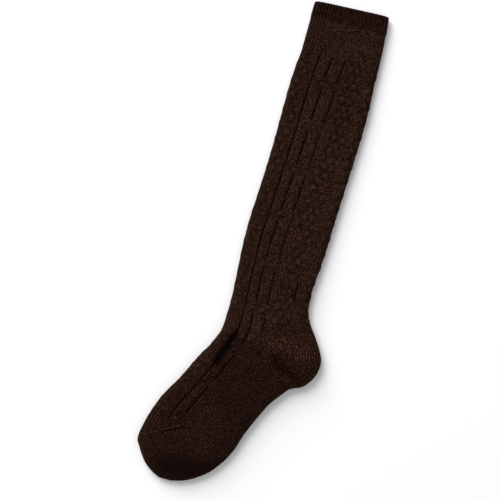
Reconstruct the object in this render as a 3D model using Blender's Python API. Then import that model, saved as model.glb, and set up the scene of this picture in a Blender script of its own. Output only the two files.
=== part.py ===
"""Knee sock lying on its side: a ribbed cuff, a cabled leg, a heel pocket, a foot and a toe cap.

+Y runs up the leg to the cuff, the toe points towards -X, and +Z is up from the surface under the sock.
The knit is two layers, top and under, that meet round the folded outline. Each knitted section is a
shell with a finely ribbed outer skin, a plain inner skin and a rim that joins them at every border, so
the sock is one hollow from the cuff's mouth down to the toe.
"""

import math
from collections import namedtuple

import bmesh
import bpy
import numpy as np
from mathutils import Vector

# Lengths along the sock, in metres. The ankle point is where the heel pocket starts, on the side.
CUFF_LENGTH = 0.0577
HEM_LENGTH = 0.019
LEG_LENGTH = 0.3235
FOOT_LENGTH = 0.1806

# Widths as the sock lies flat, and the angle of the foot away from the leg's own line
LEG_WIDTH = 0.092
FOOT_WIDTH = 0.095
HEEL_BULGE = 0.0127
FOOT_TURN = math.radians(24.0)

# Thickness of the knit, and how high the two layers stand together above the surface
WALL = 0.0026
FOLD_RADIUS = 0.0050
SECTION_GAP = 0.0003
FOLD_SQUARENESS = 2.3
# Within this distance of a fold the knitted relief turns from upright to level
RELIEF_TURN = 0.017

# Knitted relief
RIB_PITCH = 0.0037
RIB_DEPTH = 0.0006
HEM_RAISE = 0.0005
CABLE_RAISE = 0.0007
FURROW_DEPTH = 0.0009
CABLE_REPEAT = 0.0500
CABLE_FIRST_CROSSING = 0.0297
CABLE_CROSSING_SHARE = 0.13
BUMP_ACROSS = 0.0093
BUMP_ALONG = 0.0168
BUMP_RAISE = 0.0008
FOOT_PATTERN_LENGTH = 0.1150

# Where the side point lies between the front and the back fold, as a share of the width
SIDE_SHARE = 0.38
# The leg's own centreline, as a share of its width, towards the back fold from the ankle point
LEG_CENTRE_SHARE = 0.078

KNIT_COLOUR = (0.022, 0.010, 0.006, 1.0)
KNIT_ROUGHNESS = 0.95

# down: share of the leg's length below the cuff. front, back: the folds, in half widths from the
# centreline. front_rise, back_rise: how far above that station each end lies, in half widths.
LegRow = namedtuple("LegRow", "down front back front_rise back_rise")
LEG_ROWS = (
    LegRow(0.00, -0.943, 0.950, 0.00, 0.00),
    LegRow(0.06, -0.983, 0.965, 0.00, 0.00),
    LegRow(0.13, -1.000, 0.998, 0.00, 0.00),
    LegRow(0.22, -0.996, 1.009, 0.00, 0.00),
    LegRow(0.33, -0.985, 0.994, 0.00, 0.00),
    LegRow(0.43, -0.994, 0.975, 0.00, 0.00),
    LegRow(0.52, -1.014, 0.957, 0.00, 0.00),
    LegRow(0.61, -1.034, 0.947, 0.00, 0.00),
    LegRow(0.70, -1.016, 0.926, 0.00, 0.02),
    LegRow(0.78, -0.974, 0.890, 0.00, 0.07),
    LegRow(0.85, -0.938, 0.908, 0.00, 0.17),
    LegRow(0.90, -0.925, 0.938, 0.01, 0.32),
    LegRow(0.95, -0.928, 1.030, 0.03, 0.48),
    LegRow(1.00, -0.943, 1.152, 0.06, 0.648),
)

# The cuff's rows, in the same terms, with down as a share of the cuff's length
CUFF_ROWS = (
    LegRow(0.00, -0.948, 0.835, -0.056, 0.056),
    LegRow(0.50, -0.948, 0.913, -0.020, 0.020),
    LegRow(1.00, -0.943, 0.950, 0.00, 0.00),
)

# station: share of the foot's length at the side. Each edge: share of the length along the foot's
# own line, and share of its width out from that line, towards the sole.
FootRow = namedtuple("FootRow", "station front_along front_out side_out sole_along sole_out")
TOE_STATION = 0.681
FOOT_ROWS = (
    FootRow(0.000, 0.067, -0.375, 0.000, 0.083, 0.678),
    FootRow(0.144, 0.177, -0.357, 0.005, 0.212, 0.620),
    FootRow(0.255, 0.279, -0.372, 0.010, 0.302, 0.610),
    FootRow(0.420, 0.456, -0.378, 0.010, 0.458, 0.615),
    FootRow(0.551, 0.610, -0.402, 0.010, 0.564, 0.641),
    FootRow(0.622, 0.753, -0.378, 0.010, 0.626, 0.643),
    FootRow(TOE_STATION, 0.888, -0.314, 0.015, 0.684, 0.633),
    FootRow(0.765, 0.934, -0.220, 0.045, 0.776, 0.592),
    FootRow(0.850, 0.967, -0.120, 0.090, 0.862, 0.507),
    FootRow(0.930, 0.988, -0.030, 0.140, 0.923, 0.415),
    FootRow(1.000, 1.000, 0.080, 0.180, 0.969, 0.310),
)

# The heel's fold from the leg's last row round to the foot's first: share of the turn, and share
# of the bulge beyond a plain arc.
HeelPoint = namedtuple("HeelPoint", "turn bulge")
HEEL_POINTS = (
    HeelPoint(0.00, 0.00),
    HeelPoint(0.15, 0.27),
    HeelPoint(0.28, 0.59),
    HeelPoint(0.38, 0.86),
    HeelPoint(0.47, 1.00),
    HeelPoint(0.57, 1.00),
    HeelPoint(0.69, 0.91),
    HeelPoint(0.83, 0.62),
    HeelPoint(0.93, 0.20),
    HeelPoint(1.00, 0.00),
)

# The height of the two layers together, and how far in from the fold they reach it, at places along the
# leg's line, in leg widths above the ankle point.
Loft = namedtuple("Loft", "place height reach")
LOFTS = (
    Loft(4.20, 0.0118, 0.016),
    Loft(3.50, 0.0118, 0.016),
    Loft(2.00, 0.0130, 0.018),
    Loft(0.80, 0.0134, 0.018),
    Loft(0.25, 0.0146, 0.019),
    Loft(-0.20, 0.0160, 0.021),
    Loft(-0.90, 0.0152, 0.024),
    Loft(-1.35, 0.0146, 0.028),
    Loft(-1.90, 0.0136, 0.032),
)

# Soft ridges and dents of the top layer, each along a line from its start to its end. All columns are
# shares of the leg's width from the ankle point.
Crease = namedtuple("Crease", "name start_x start_y end_x end_y spread height")
CREASES = (
    Crease("heel ridge", 0.10, 0.020, 0.66, -0.055, 0.060, 0.014),
    Crease("heel dent", 0.14, -0.115, 0.62, -0.190, 0.060, -0.021),
    Crease("ankle fold", -0.205, 0.030, -0.330, -0.330, 0.034, -0.019),
    Crease("ball hollow", -0.10, -0.55, -0.28, -0.85, 0.100, -0.006),
)
CREASE_EDGE = 0.008

# The stitch panels from the front fold to the back fold, by the share of the width where each ends, at
# the top, a little above the middle and at the bottom of the section. A border of a rib is a furrow.
Panel = namedtuple("Panel", "kind end_above end_between end_below")
PANEL_KEYS = (0.0, 0.4, 1.0)
LEG_PANELS = (
    Panel("bumps", 0.190, 0.160, 0.150),
    Panel("plain", 0.242, 0.210, 0.190),
    Panel("rib", 0.400, 0.345, 0.310),
    Panel("rib", 0.565, 0.490, 0.470),
    Panel("plain", 0.630, 0.570, 0.550),
    Panel("bumps", 0.830, 0.810, 0.790),
    Panel("plain", 0.920, 0.905, 0.895),
    Panel("bumps", 1.000, 1.000, 1.000),
)
FOOT_PANELS = (
    Panel("bumps", 0.150, 0.150, 0.155),
    Panel("plain", 0.190, 0.195, 0.200),
    Panel("rib", 0.310, 0.310, 0.315),
    Panel("plain", SIDE_SHARE, SIDE_SHARE, SIDE_SHARE),
    Panel("sole", 1.000, 1.000, 1.000),
)
# A rib's own columns, as shares of its width. The middle one meets the side point at the ankle.
RIB_SHOULDERS = (0.19, 0.4375, 0.79)
FOLD_COLUMNS = (0.005, 0.020)
SOLE_COLUMNS = (0.52, 0.66, 0.79, 0.89)
TOE_COLUMNS = (0.10, 0.18, 0.28, SIDE_SHARE, 0.50, 0.62, 0.74, 0.84, 0.91)
HEEL_COLUMNS = (0.0, 0.09, 0.18, 0.30, 0.42, 0.56, 0.70, 0.82, 0.90, 0.955, 0.987, 1.0)
INNER_COLUMNS = (0.0, 0.02, 0.07, 0.16, 0.27, SIDE_SHARE, 0.55, 0.72, 0.85, 0.93, 0.98, 1.0)
INNER_HEEL_COLUMNS = (0.0, 0.30, 0.62, 0.82, 0.92, 0.98, 1.0)
INNER_ROW_SPACING = 0.028
ROWS_IN_HEEL = 12
ROWS_IN_TOE = 12


def curve_value(keys, values, at):
    """The value at one place on a smooth curve through the values at the keys."""
    last = len(keys) - 1
    at = min(max(at, keys[0]), keys[last])
    i = max(k for k in range(last) if keys[k] <= at or k == 0)

    def slope(k):
        lower, upper = max(k - 1, 0), min(k + 1, last)
        return (values[upper] - values[lower]) / (keys[upper] - keys[lower])

    span = keys[i + 1] - keys[i]
    t = (at - keys[i]) / span
    return (
        (1 + 2 * t) * (1 - t) ** 2 * values[i]
        + t * (1 - t) ** 2 * span * slope(i)
        + t * t * (3 - 2 * t) * values[i + 1]
        + t * t * (t - 1) * span * slope(i + 1)
    )


def table_row(table, at):
    """A row of a section table at any station, its first column, between the rows that it lists."""
    keys = [row[0] for row in table]
    columns = zip(*table)
    return table[0].__class__(*(curve_value(keys, list(column), at) for column in columns))


# Plan of the sock. A row is three points: the front fold, the side point and the back fold.
Row = namedtuple("Row", "front side back")


def upright_row(row, top, length, side_dip):
    """The plan points of a row of the cuff or the leg."""
    half = LEG_WIDTH / 2
    centre = LEG_CENTRE_SHARE * LEG_WIDTH
    station = top - row.down * length
    front = Vector((centre + row.front * half, station + row.front_rise * half))
    back = Vector((centre + row.back * half, station + row.back_rise * half))
    side = front.lerp(back, SIDE_SHARE)
    return Row(front, side.lerp(Vector((0.0, 0.0)), side_dip), back)


def cuff_row(down):
    return upright_row(table_row(CUFF_ROWS, down), LEG_LENGTH + CUFF_LENGTH, CUFF_LENGTH, 0.0)


def leg_row(down):
    """A row of the leg. Its side point bends down to the ankle point over the last few rows."""
    bend_start = LEG_ROWS[-5].down
    bend = max(0.0, (down - bend_start) / (1.0 - bend_start)) ** 2
    return upright_row(table_row(LEG_ROWS, down), LEG_LENGTH, LEG_LENGTH, bend)


def foot_point(along, out):
    """A plan point of the foot, from metres along its own line and metres out towards the sole."""
    line = Vector((-math.sin(FOOT_TURN), -math.cos(FOOT_TURN)))
    across = Vector((math.cos(FOOT_TURN), -math.sin(FOOT_TURN)))
    return line * along + across * out


def foot_row(station):
    """A row of the foot or the toe cap. The first starts at the leg's last point on the front fold."""
    row = table_row(FOOT_ROWS, station)
    front = foot_point(row.front_along * FOOT_LENGTH, row.front_out * FOOT_WIDTH)
    side = foot_point(row.station * FOOT_LENGTH, row.side_out * FOOT_WIDTH)
    sole = foot_point(row.sole_along * FOOT_LENGTH, row.sole_out * FOOT_WIDTH)
    meet = max(0.0, 1.0 - station / FOOT_ROWS[2].station) ** 2
    start = foot_point(FOOT_ROWS[0].front_along * FOOT_LENGTH, FOOT_ROWS[0].front_out * FOOT_WIDTH)
    return Row(front + (leg_row(1.0).front - start) * meet, side, sole)


def heel_edge(turn):
    """A plan point on the heel's fold, from the leg's last row at 0 round to the foot's first at 1."""
    first, last = leg_row(1.0).back, foot_row(0.0).back
    angle = [math.atan2(p.y, p.x) for p in (first, last)]
    reach = [p.length for p in (first, last)]
    bulge = curve_value([p.turn for p in HEEL_POINTS], [p.bulge for p in HEEL_POINTS], turn)
    at = angle[0] + (angle[1] - angle[0]) * turn
    out = reach[0] + (reach[1] - reach[0]) * turn + HEEL_BULGE * bulge
    return Vector((math.cos(at), math.sin(at))) * out


def on_row(row, share):
    """A plan point on a row, which runs straight from the front fold to the side and on to the back."""
    if share <= SIDE_SHARE:
        return row.front.lerp(row.side, share / SIDE_SHARE)
    return row.side.lerp(row.back, (share - SIDE_SHARE) / (1.0 - SIDE_SHARE))


def outline():
    """The folded outline as plan points, from the mouth down the front, round the toe and back up."""
    steps = [i / 60 for i in range(61)]
    front = [cuff_row(t).front for t in steps[::6]] + [leg_row(t).front for t in steps]
    front += [foot_row(t).front for t in steps[1:]]
    tip = [foot_row(1.0).side]
    sole = [foot_row(t).back for t in reversed(steps)]
    heel = [heel_edge(t) for t in reversed(steps)]
    back = [leg_row(t).back for t in reversed(steps)] + [cuff_row(t).back for t in reversed(steps[::6])]
    return np.array([tuple(p) for p in front + tip + sole + heel + back])


OUTLINE = outline()


def fold_distance(point):
    """How far a plan point lies inside the nearest fold."""
    start, end = OUTLINE[:-1], OUTLINE[1:]
    run = end - start
    length_2 = np.maximum((run**2).sum(axis=1), 1e-14)
    place = np.clip((((np.array(point) - start) * run).sum(axis=1)) / length_2, 0.0, 1.0)
    nearest = start + run * place[:, None]
    return float(np.sqrt(((nearest - np.array(point)) ** 2).sum(axis=1)).min())


def loft_at(point):
    """The height of the two layers and how far in from the fold they reach it, at a plan point."""
    keys = [-loft.place for loft in LOFTS]
    at = -point.y / LEG_WIDTH
    height = curve_value(keys, [loft.height for loft in LOFTS], at)
    return height, curve_value(keys, [loft.reach for loft in LOFTS], at)


def fold_rise(depth, reach):
    """From 0 at a fold to 1 where the layer lies level, as a soft rounded shoulder."""
    left = 1.0 - min(max(depth, 0.0), reach) / reach
    return (1.0 - left**FOLD_SQUARENESS) ** (1.0 / FOLD_SQUARENESS)


def crease_height(point, depth):
    """Height that the ridges and dents add at a plan point, none of it on the fold itself."""
    total = 0.0
    for crease in CREASES:
        start = Vector((crease.start_x, crease.start_y)) * LEG_WIDTH
        run = Vector((crease.end_x, crease.end_y)) * LEG_WIDTH - start
        place = min(max((point - start).dot(run) / run.length_squared, 0.0), 1.0)
        away = (point - start - run * place).length / (crease.spread * LEG_WIDTH)
        total += crease.height * LEG_WIDTH * math.exp(-away * away)
    return total * min(1.0, max(0.0, depth) / CREASE_EDGE)


def layer_heights(point, depth, inset):
    """Heights of the under and the top surface at a plan point, for a skin that lies inset inside the knit.

    depth is how far the point lies inside the skin's own fold.
    """
    radius = FOLD_RADIUS - inset
    left = max(0.0, radius - max(depth, 0.0))
    under = inset + radius - math.sqrt(radius**2 - left**2)
    height, reach = loft_at(point)
    top = FOLD_RADIUS + (height - inset - FOLD_RADIUS) * fold_rise(depth, reach - inset)
    crease = crease_height(point, depth)
    return under, top + (min(crease, 0.0) if inset else crease)


def bump_relief(step, along):
    """Height of the staggered bumps of the honeycomb panels, which lie two steps apart across the knit."""
    wave = math.cos(math.pi * step) * math.cos(math.tau * along / BUMP_ALONG)
    return BUMP_RAISE * (0.25 + (wave if wave > 0 else 0.75 * wave))


def crossing_weight(along):
    """1 in the middle of a cable crossing and 0 between crossings."""
    phase = (along - CABLE_FIRST_CROSSING) / CABLE_REPEAT
    away = abs(phase - round(phase))
    return max(0.0, 1.0 - away / CABLE_CROSSING_SHARE)


# A column of a section: its share of the width at the three panel keys, what is knitted there, and its
# number of steps into a bumps panel
Column = namedtuple("Column", "above between below kind step")


def level_column(share, kind, step=0.0):
    return Column(share, share, share, kind, step)


def panel_columns(panels, width):
    """The columns that show the panels, from the front fold to the back fold."""
    bump_step = BUMP_ACROSS / 2
    near_fold = (0.0, *FOLD_COLUMNS)
    columns = [level_column(share, "bumps", share * width / bump_step) for share in near_fold]
    start = Panel("fold", 0.0, 0.0, 0.0)
    for number, panel in enumerate(panels):
        shares = ()
        if panel.kind == "bumps":
            count = max(1, round((panel.end_above - start.end_above) * width / bump_step))
            shares = [i / count for i in range(1, count)]
        elif panel.kind == "rib":
            shares = RIB_SHOULDERS
        for step, share in enumerate(shares, 1):
            places = [start[k] + (panel[k] - start[k]) * share for k in (1, 2, 3)]
            columns.append(Column(*places, panel.kind, step))
        if panel.kind == "sole":
            columns += [level_column(share, "plain") for share in SOLE_COLUMNS]
        if panel.end_above < 1.0:
            following = panels[number + 1].kind
            furrow = "rib" in (panel.kind, following)
            middle = panel.kind == following == "rib"
            kind = "crossed furrow" if middle else "furrow" if furrow else "plain"
            columns.append(Column(panel.end_above, panel.end_between, panel.end_below, kind, 0.0))
        start = panel
    edge_kind = "bumps" if panels[-1].kind == "bumps" else "plain"
    tail = [level_column(1.0 - share, edge_kind, share * width / bump_step) for share in reversed(near_fold)]
    return [c for c in columns if c.above < tail[0].above - FOLD_COLUMNS[0]] + tail


def column_relief(column, along):
    """Height of the knitted relief on one column, at a distance along the section."""
    crossing = crossing_weight(along)
    if column.kind == "bumps":
        return bump_relief(column.step, along)
    if column.kind == "rib":
        return CABLE_RAISE * (1.0 + 0.5 * crossing)
    if column.kind == "furrow":
        return -FURROW_DEPTH * (1.0 - 0.4 * crossing)
    if column.kind == "crossed furrow":
        return -FURROW_DEPTH + (FURROW_DEPTH + CABLE_RAISE) * crossing
    return 0.0


def skin(mesh, grid, inset, folded, relief=None):
    """Adds the top and the under layer of one skin over a grid of plan points, [row][column].

    inset is how far the skin lies inside the knit. relief holds the top layer's raised height at each
    point. folded names the sides of the grid where the two layers meet in one line.
    """
    last_row, last_column = len(grid) - 1, len(grid[0]) - 1
    top, under = [], []
    for r, points in enumerate(grid):
        side_point = points[(last_column + 1) // 2]
        top_row, under_row = [], []
        for c, point in enumerate(points):
            on_fold = (
                (c == 0 and "first_column" in folded)
                or (c == last_column and "last_column" in folded)
                or (r == last_row and "last_row" in folded)
            )
            depth = inset if on_fold else fold_distance(point)
            low, high = layer_heights(point, depth - inset, inset)
            raised = relief[r][c] if relief else 0.0
            edge = points[0] if c < last_column / 2 else points[-1]
            outward = (edge - side_point).normalized()
            lean = max(0.0, 1.0 - depth / RELIEF_TURN) ** 1.5
            above = point + outward * raised * lean
            high += raised * math.sqrt(1.0 - lean**2)
            below = point + outward * raised * max(0.0, 1.0 - depth / FOLD_RADIUS)
            top_row.append(mesh.verts.new((above.x, above.y, high)))
            under_row.append(top_row[-1] if on_fold else mesh.verts.new((below.x, below.y, low)))
        top.append(top_row)
        under.append(under_row)
    level = []
    for r in range(last_row):
        for c in range(last_column):
            mesh.faces.new((top[r][c], top[r + 1][c], top[r + 1][c + 1], top[r][c + 1]))
            level.append(mesh.faces.new((under[r][c], under[r][c + 1], under[r + 1][c + 1], under[r + 1][c])))
    return top, under, level


def border(layer, side):
    """The vertices of one layer along a named side of its grid."""
    if side in ("first_row", "last_row"):
        return layer[0 if side == "first_row" else -1]
    return [row[0 if side == "first_column" else -1] for row in layer]


def rim(mesh, outer, inner, turn):
    """Closes the border between the skins with faces, in two where the border turns at a plan point."""
    parts = [(outer, inner)]
    if turn is not None:
        bends = [min(range(len(line)), key=lambda k: (line[k].co.xy - turn).length) for line in (outer, inner)]
        parts = [
            (outer[: bends[0] + 1], inner[: bends[1] + 1]),
            (outer[bends[0] :], inner[bends[1] :]),
        ]
    for outer_part, inner_part in parts:
        mesh.faces.new(outer_part + inner_part[::-1])


def shell(name, grid, inner_grid, relief, folded, rims):
    """A hollow section: its outer and inner skin, joined at each side named in rims.

    rims gives, for each open side, the plan point where that border turns, or None.
    """
    mesh = bmesh.new()
    outer_top, outer_under, level = skin(mesh, grid, 0.0, folded, relief)
    inner_top, inner_under, _ = skin(mesh, inner_grid, WALL, folded)
    for side, turn in rims.items():
        rim(mesh, border(outer_top, side), border(inner_top, side), turn)
        rim(mesh, border(outer_under, side), border(inner_under, side), turn)
    bmesh.ops.recalc_face_normals(mesh, faces=mesh.faces)
    mesh.normal_update()
    resting = [f for f in level if f.is_valid and max(v.co.z for v in f.verts) < FOLD_RADIUS / 1000]
    edges = list({e for f in resting for e in f.edges})
    verts = list({v for f in resting for v in f.verts})
    bmesh.ops.dissolve_limit(mesh, angle_limit=math.radians(0.1), verts=verts, edges=edges)
    data = bpy.data.meshes.new(name)
    mesh.to_mesh(data)
    mesh.free()
    return bpy.data.objects.new(name, data)


def section_grid(columns, row_at, stations, shift):
    """Plan points of a section for each station and column. shift moves its end rows to leave the gap."""
    grid = []
    for number, station in enumerate(stations):
        row = row_at(station)
        share = number / (len(stations) - 1)
        moved = shift[0] if number == 0 else shift[1] if number == len(stations) - 1 else Vector((0.0, 0.0))
        places = [curve_value(PANEL_KEYS, c[:3], share) for c in columns]
        grid.append([on_row(row, place) + moved for place in places])
    return grid


def inner_section_grid(row_at, stations, shift, heart=None):
    """Plan points of a section's inner skin, which lies a wall's thickness inside both folds.

    heart is the plan point that the rows draw in towards where the section closes.
    """
    grid = []
    for number, station in enumerate(stations):
        row = row_at(station)
        moved = shift[0] if number == 0 else shift[1] if number == len(stations) - 1 else Vector((0.0, 0.0))
        middle = row.side.lerp(heart, number / (len(stations) - 1)) if heart else row.side
        front = row.front + (middle - row.front).normalized() * WALL
        back = row.back + (middle - row.back).normalized() * WALL
        inner = Row(front, row.side, back)
        grid.append([on_row(inner, share) + moved for share in INNER_COLUMNS])
    return grid


def steps_between(first, last, count):
    return [first + (last - first) * i / count for i in range(count + 1)]


def half_gap(direction):
    return Vector(direction) * (SECTION_GAP / 2)


def make_cuff():
    """The ribbed cuff with its turned hem round the mouth."""
    ribs = max(4, round(LEG_WIDTH / RIB_PITCH))
    shares = sorted({0.0, 1.0, *FOLD_COLUMNS, *(1.0 - s for s in FOLD_COLUMNS)})
    kinds = {share: "crest" for share in shares}
    for rib in range(2, ribs - 1):
        kinds[rib / ribs] = "groove"
        kinds[(rib + 0.3) / ribs] = "crest"
        kinds[(rib + 0.7) / ribs] = "crest"
    columns = [level_column(share, kinds[share]) for share in sorted(kinds)]
    hem_end = HEM_LENGTH / CUFF_LENGTH
    step = 0.02
    stations = [0.0, hem_end - 2 * step, hem_end - step, hem_end, hem_end + 2 * step, (1 + hem_end) / 2, 1.0]
    stations.insert(1, hem_end / 2)
    relief = []
    for station in stations:
        hem = HEM_RAISE if station < hem_end - 1.5 * step else 0.0
        seam = -HEM_RAISE if abs(station - hem_end) < step / 2 else 0.0
        relief.append([hem + seam - (RIB_DEPTH if c.kind == "groove" else 0.0) for c in columns])
    shift = (Vector((0.0, 0.0)), half_gap((0, 1)))
    grid = section_grid(columns, cuff_row, stations, shift)
    inner = inner_section_grid(cuff_row, steps_between(0.0, 1.0, 2), shift)
    rims = {"first_row": None, "last_row": None}
    return shell("cuff", grid, inner, relief, ("first_column", "last_column"), rims)


def patterned_relief(columns, grid, length, pattern_length):
    """Relief of a patterned section at each grid point, faded out below pattern_length."""
    rows = []
    for number in range(len(grid)):
        along = length * number / (len(grid) - 1)
        fade = min(1.0, max(0.0, (pattern_length - along) / BUMP_ACROSS))
        rows.append([fade * column_relief(column, along) for column in columns])
    return rows


def make_leg():
    """The leg with its cables and honeycomb panels."""
    columns = panel_columns(LEG_PANELS, LEG_WIDTH)
    count = max(8, round(LEG_LENGTH / (BUMP_ALONG / 4)))
    shift = (half_gap((0, -1)), half_gap((0, 1)))
    grid = section_grid(columns, leg_row, steps_between(0.0, 1.0, count), shift)
    relief = patterned_relief(columns, grid, LEG_LENGTH, LEG_LENGTH * 2)
    inner_count = round(LEG_LENGTH / INNER_ROW_SPACING)
    inner = inner_section_grid(leg_row, steps_between(0.0, 1.0, inner_count), shift)
    rims = {"first_row": None, "last_row": leg_row(1.0).side}
    return shell("leg", grid, inner, relief, ("first_column", "last_column"), rims)


def make_foot():
    """The foot: a patterned instep on the front side and a plain sole."""
    columns = panel_columns(FOOT_PANELS, FOOT_WIDTH)
    front_length = (FOOT_ROWS[6].front_along - FOOT_ROWS[0].front_along) * FOOT_LENGTH
    count = max(6, round(front_length / (BUMP_ALONG / 4)))
    down_foot = foot_point(1.0, 0.0)
    shift = (half_gap(down_foot), half_gap(-down_foot))
    grid = section_grid(columns, foot_row, steps_between(0.0, TOE_STATION, count), shift)
    relief = patterned_relief(columns, grid, front_length, FOOT_PATTERN_LENGTH)
    inner_count = round(front_length / INNER_ROW_SPACING)
    inner = inner_section_grid(foot_row, steps_between(0.0, TOE_STATION, inner_count), shift)
    rims = {"first_row": foot_row(0.0).side, "last_row": foot_row(TOE_STATION).side}
    return shell("foot", grid, inner, relief, ("first_column", "last_column"), rims)


def make_toe_cap():
    """The plain toe cap beyond the seam across the toes."""
    shares = [0.0, *FOLD_COLUMNS, *TOE_COLUMNS, *(1.0 - s for s in reversed(FOLD_COLUMNS)), 1.0]
    columns = [level_column(share, "plain") for share in shares]
    down_foot = foot_point(1.0, 0.0)
    # Rows crowd towards the tip, where the fold is round
    reach = 1.0 - TOE_STATION
    stations = [TOE_STATION + reach * math.sin(turn) for turn in steps_between(0.0, math.pi / 2, ROWS_IN_TOE)]
    shift = (half_gap(down_foot), Vector((0.0, 0.0)))
    grid = section_grid(columns, foot_row, stations, shift)
    relief = [[0.0] * len(columns) for _ in grid]
    inner_reach = reach - 1.4 * WALL / FOOT_LENGTH
    turns = steps_between(0.0, math.pi / 2, ROWS_IN_TOE // 2)
    inner_stations = [TOE_STATION + inner_reach * math.sin(turn) for turn in turns]
    heart = foot_row(TOE_STATION + reach / 2).side
    inner = inner_section_grid(foot_row, inner_stations, shift, heart)
    rims = {"first_row": foot_row(TOE_STATION).side}
    return shell("toe_cap", grid, inner, relief, ("first_column", "last_column", "last_row"), rims)


def make_heel():
    """The plain heel pocket, a wedge that fans from the ankle point round the heel's fold."""
    first, last = leg_row(1.0).back, foot_row(0.0).back
    angle = [math.atan2(p.y, p.x) for p in (first, last)]
    middle, half = (angle[0] + angle[1]) / 2, abs(angle[0] - angle[1]) / 2
    # The pocket's point is cut off where it would be thinner than the gap beside it
    start = Vector((math.cos(middle), math.sin(middle))) * (2 * SECTION_GAP / math.sin(half))
    fold_length = sum((heel_edge(i / 40) - heel_edge((i + 1) / 40)).length for i in range(40))
    margin = SECTION_GAP / 2 / fold_length
    turns = steps_between(margin, 1.0 - margin, ROWS_IN_HEEL)
    side = start.length - SECTION_GAP / 2 / math.sin(half)
    grid, inner = [], []
    for turn in turns:
        end = heel_edge(turn)
        share = (turn - 0.5) * 2 * abs(half)
        near = start.normalized() * (SECTION_GAP / 2 / math.sin(half))
        bearing = Vector((math.cos(middle - share), math.sin(middle - share)))
        begin = near + bearing * side
        grid.append([begin.lerp(end, place) for place in HEEL_COLUMNS])
        inner.append([begin.lerp(end + (begin - end).normalized() * WALL, place) for place in INNER_HEEL_COLUMNS])
    inner = inner[:: ROWS_IN_HEEL // 4]
    relief = [[0.0] * len(HEEL_COLUMNS) for _ in grid]
    rims = {"first_row": None, "last_row": None, "first_column": None}
    return shell("heel", grid, inner, relief, ("last_column",), rims)


def knit_material(name):
    material = bpy.data.materials.new(name)
    material.use_nodes = True
    shader = material.node_tree.nodes["Principled BSDF"]
    shader.inputs["Base Color"].default_value = KNIT_COLOUR
    shader.inputs["Roughness"].default_value = KNIT_ROUGHNESS
    shader.inputs["Metallic"].default_value = 0.0
    return material


def centre_on_floor(objects):
    """Moves every mesh so that the sock's box is centred on the origin, with its underside at z 0."""
    corners = np.array([v.co for o in objects for v in o.data.vertices])
    low, high = corners.min(axis=0), corners.max(axis=0)
    shift = Vector((-(low[0] + high[0]) / 2, -(low[1] + high[1]) / 2, -low[2]))
    for obj in objects:
        for vertex in obj.data.vertices:
            vertex.co += shift


def main():
    for obj in list(bpy.data.objects):
        bpy.data.objects.remove(obj)
    sock = bpy.data.collections.new("knee_sock")
    bpy.context.scene.collection.children.link(sock)
    sections = [make_cuff(), make_leg(), make_heel(), make_foot(), make_toe_cap()]
    for section in sections:
        sock.objects.link(section)
        section.data.materials.append(knit_material(section.name + "_knit"))
    centre_on_floor(sections)


main()
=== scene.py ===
"""Knee sock lying on its side: the knitted looks of its cuff, leg, heel, foot and toe cap.

Each section is a closed knitted shell that stands for the plain solid of the same name. Its outer skin
carries the ribs, cables, bumps and wales as real relief, and its UV map counts stitches: one unit across
is one wale, or one rib on the cuff, and one unit along is one course, so that the material can draw every
stitch in its place.
"""

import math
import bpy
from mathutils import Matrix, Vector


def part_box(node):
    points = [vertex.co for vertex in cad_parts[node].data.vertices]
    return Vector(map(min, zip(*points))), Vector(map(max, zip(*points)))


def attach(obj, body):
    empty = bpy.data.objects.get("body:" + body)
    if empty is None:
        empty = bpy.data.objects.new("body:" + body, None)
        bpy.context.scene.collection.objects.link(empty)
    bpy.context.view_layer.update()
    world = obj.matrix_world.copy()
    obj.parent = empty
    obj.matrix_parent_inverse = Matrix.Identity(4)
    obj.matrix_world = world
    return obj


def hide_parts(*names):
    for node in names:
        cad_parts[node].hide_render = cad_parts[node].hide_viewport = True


bl_info = {
    "name": "Knee Sock",
    "version": (1, 0, 0),
    "blender": (4, 5, 0),
    "location": "3D View > Sidebar > Knee Sock",
    "description": "Builds a cable knitted knee sock that lies on its side",
    "category": "Object",
}

from collections import namedtuple

import bmesh
import bpy
import numpy as np
from bpy.props import FloatProperty, FloatVectorProperty, PointerProperty
from mathutils import Vector

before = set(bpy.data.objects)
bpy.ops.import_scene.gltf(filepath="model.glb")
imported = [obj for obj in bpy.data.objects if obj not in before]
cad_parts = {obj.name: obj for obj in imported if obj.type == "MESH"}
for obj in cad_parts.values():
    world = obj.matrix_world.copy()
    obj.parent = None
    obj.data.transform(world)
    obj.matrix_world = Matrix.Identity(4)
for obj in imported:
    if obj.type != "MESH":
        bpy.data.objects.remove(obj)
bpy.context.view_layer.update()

# Lengths and widths of the sock as it lies, in metres. They are the solids' own sizes.
CUFF_LENGTH = 0.0577
HEM_LENGTH = 0.019
LEG_LENGTH = 0.3235
FOOT_LENGTH = 0.1806
LEG_WIDTH = 0.092
FOOT_WIDTH = 0.095
HEEL_BULGE = 0.0127
FOOT_TURN = math.radians(24.0)
WALL = 0.0026
FOLD_RADIUS = 0.0050
FOLD_SQUARENESS = 2.3
SIDE_SHARE = 0.38
LEG_CENTRE_SHARE = 0.078
TOE_STATION = 0.681

# The sections' visible skins meet with only this much between them
SKIN_GAP = 0.00003

# Extra length of a layer's surface where it bends round a fold of this radius
BEND_RADIUS = 0.0060
BEND_EXTRA = BEND_RADIUS * (math.pi / 2 - 1)

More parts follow.
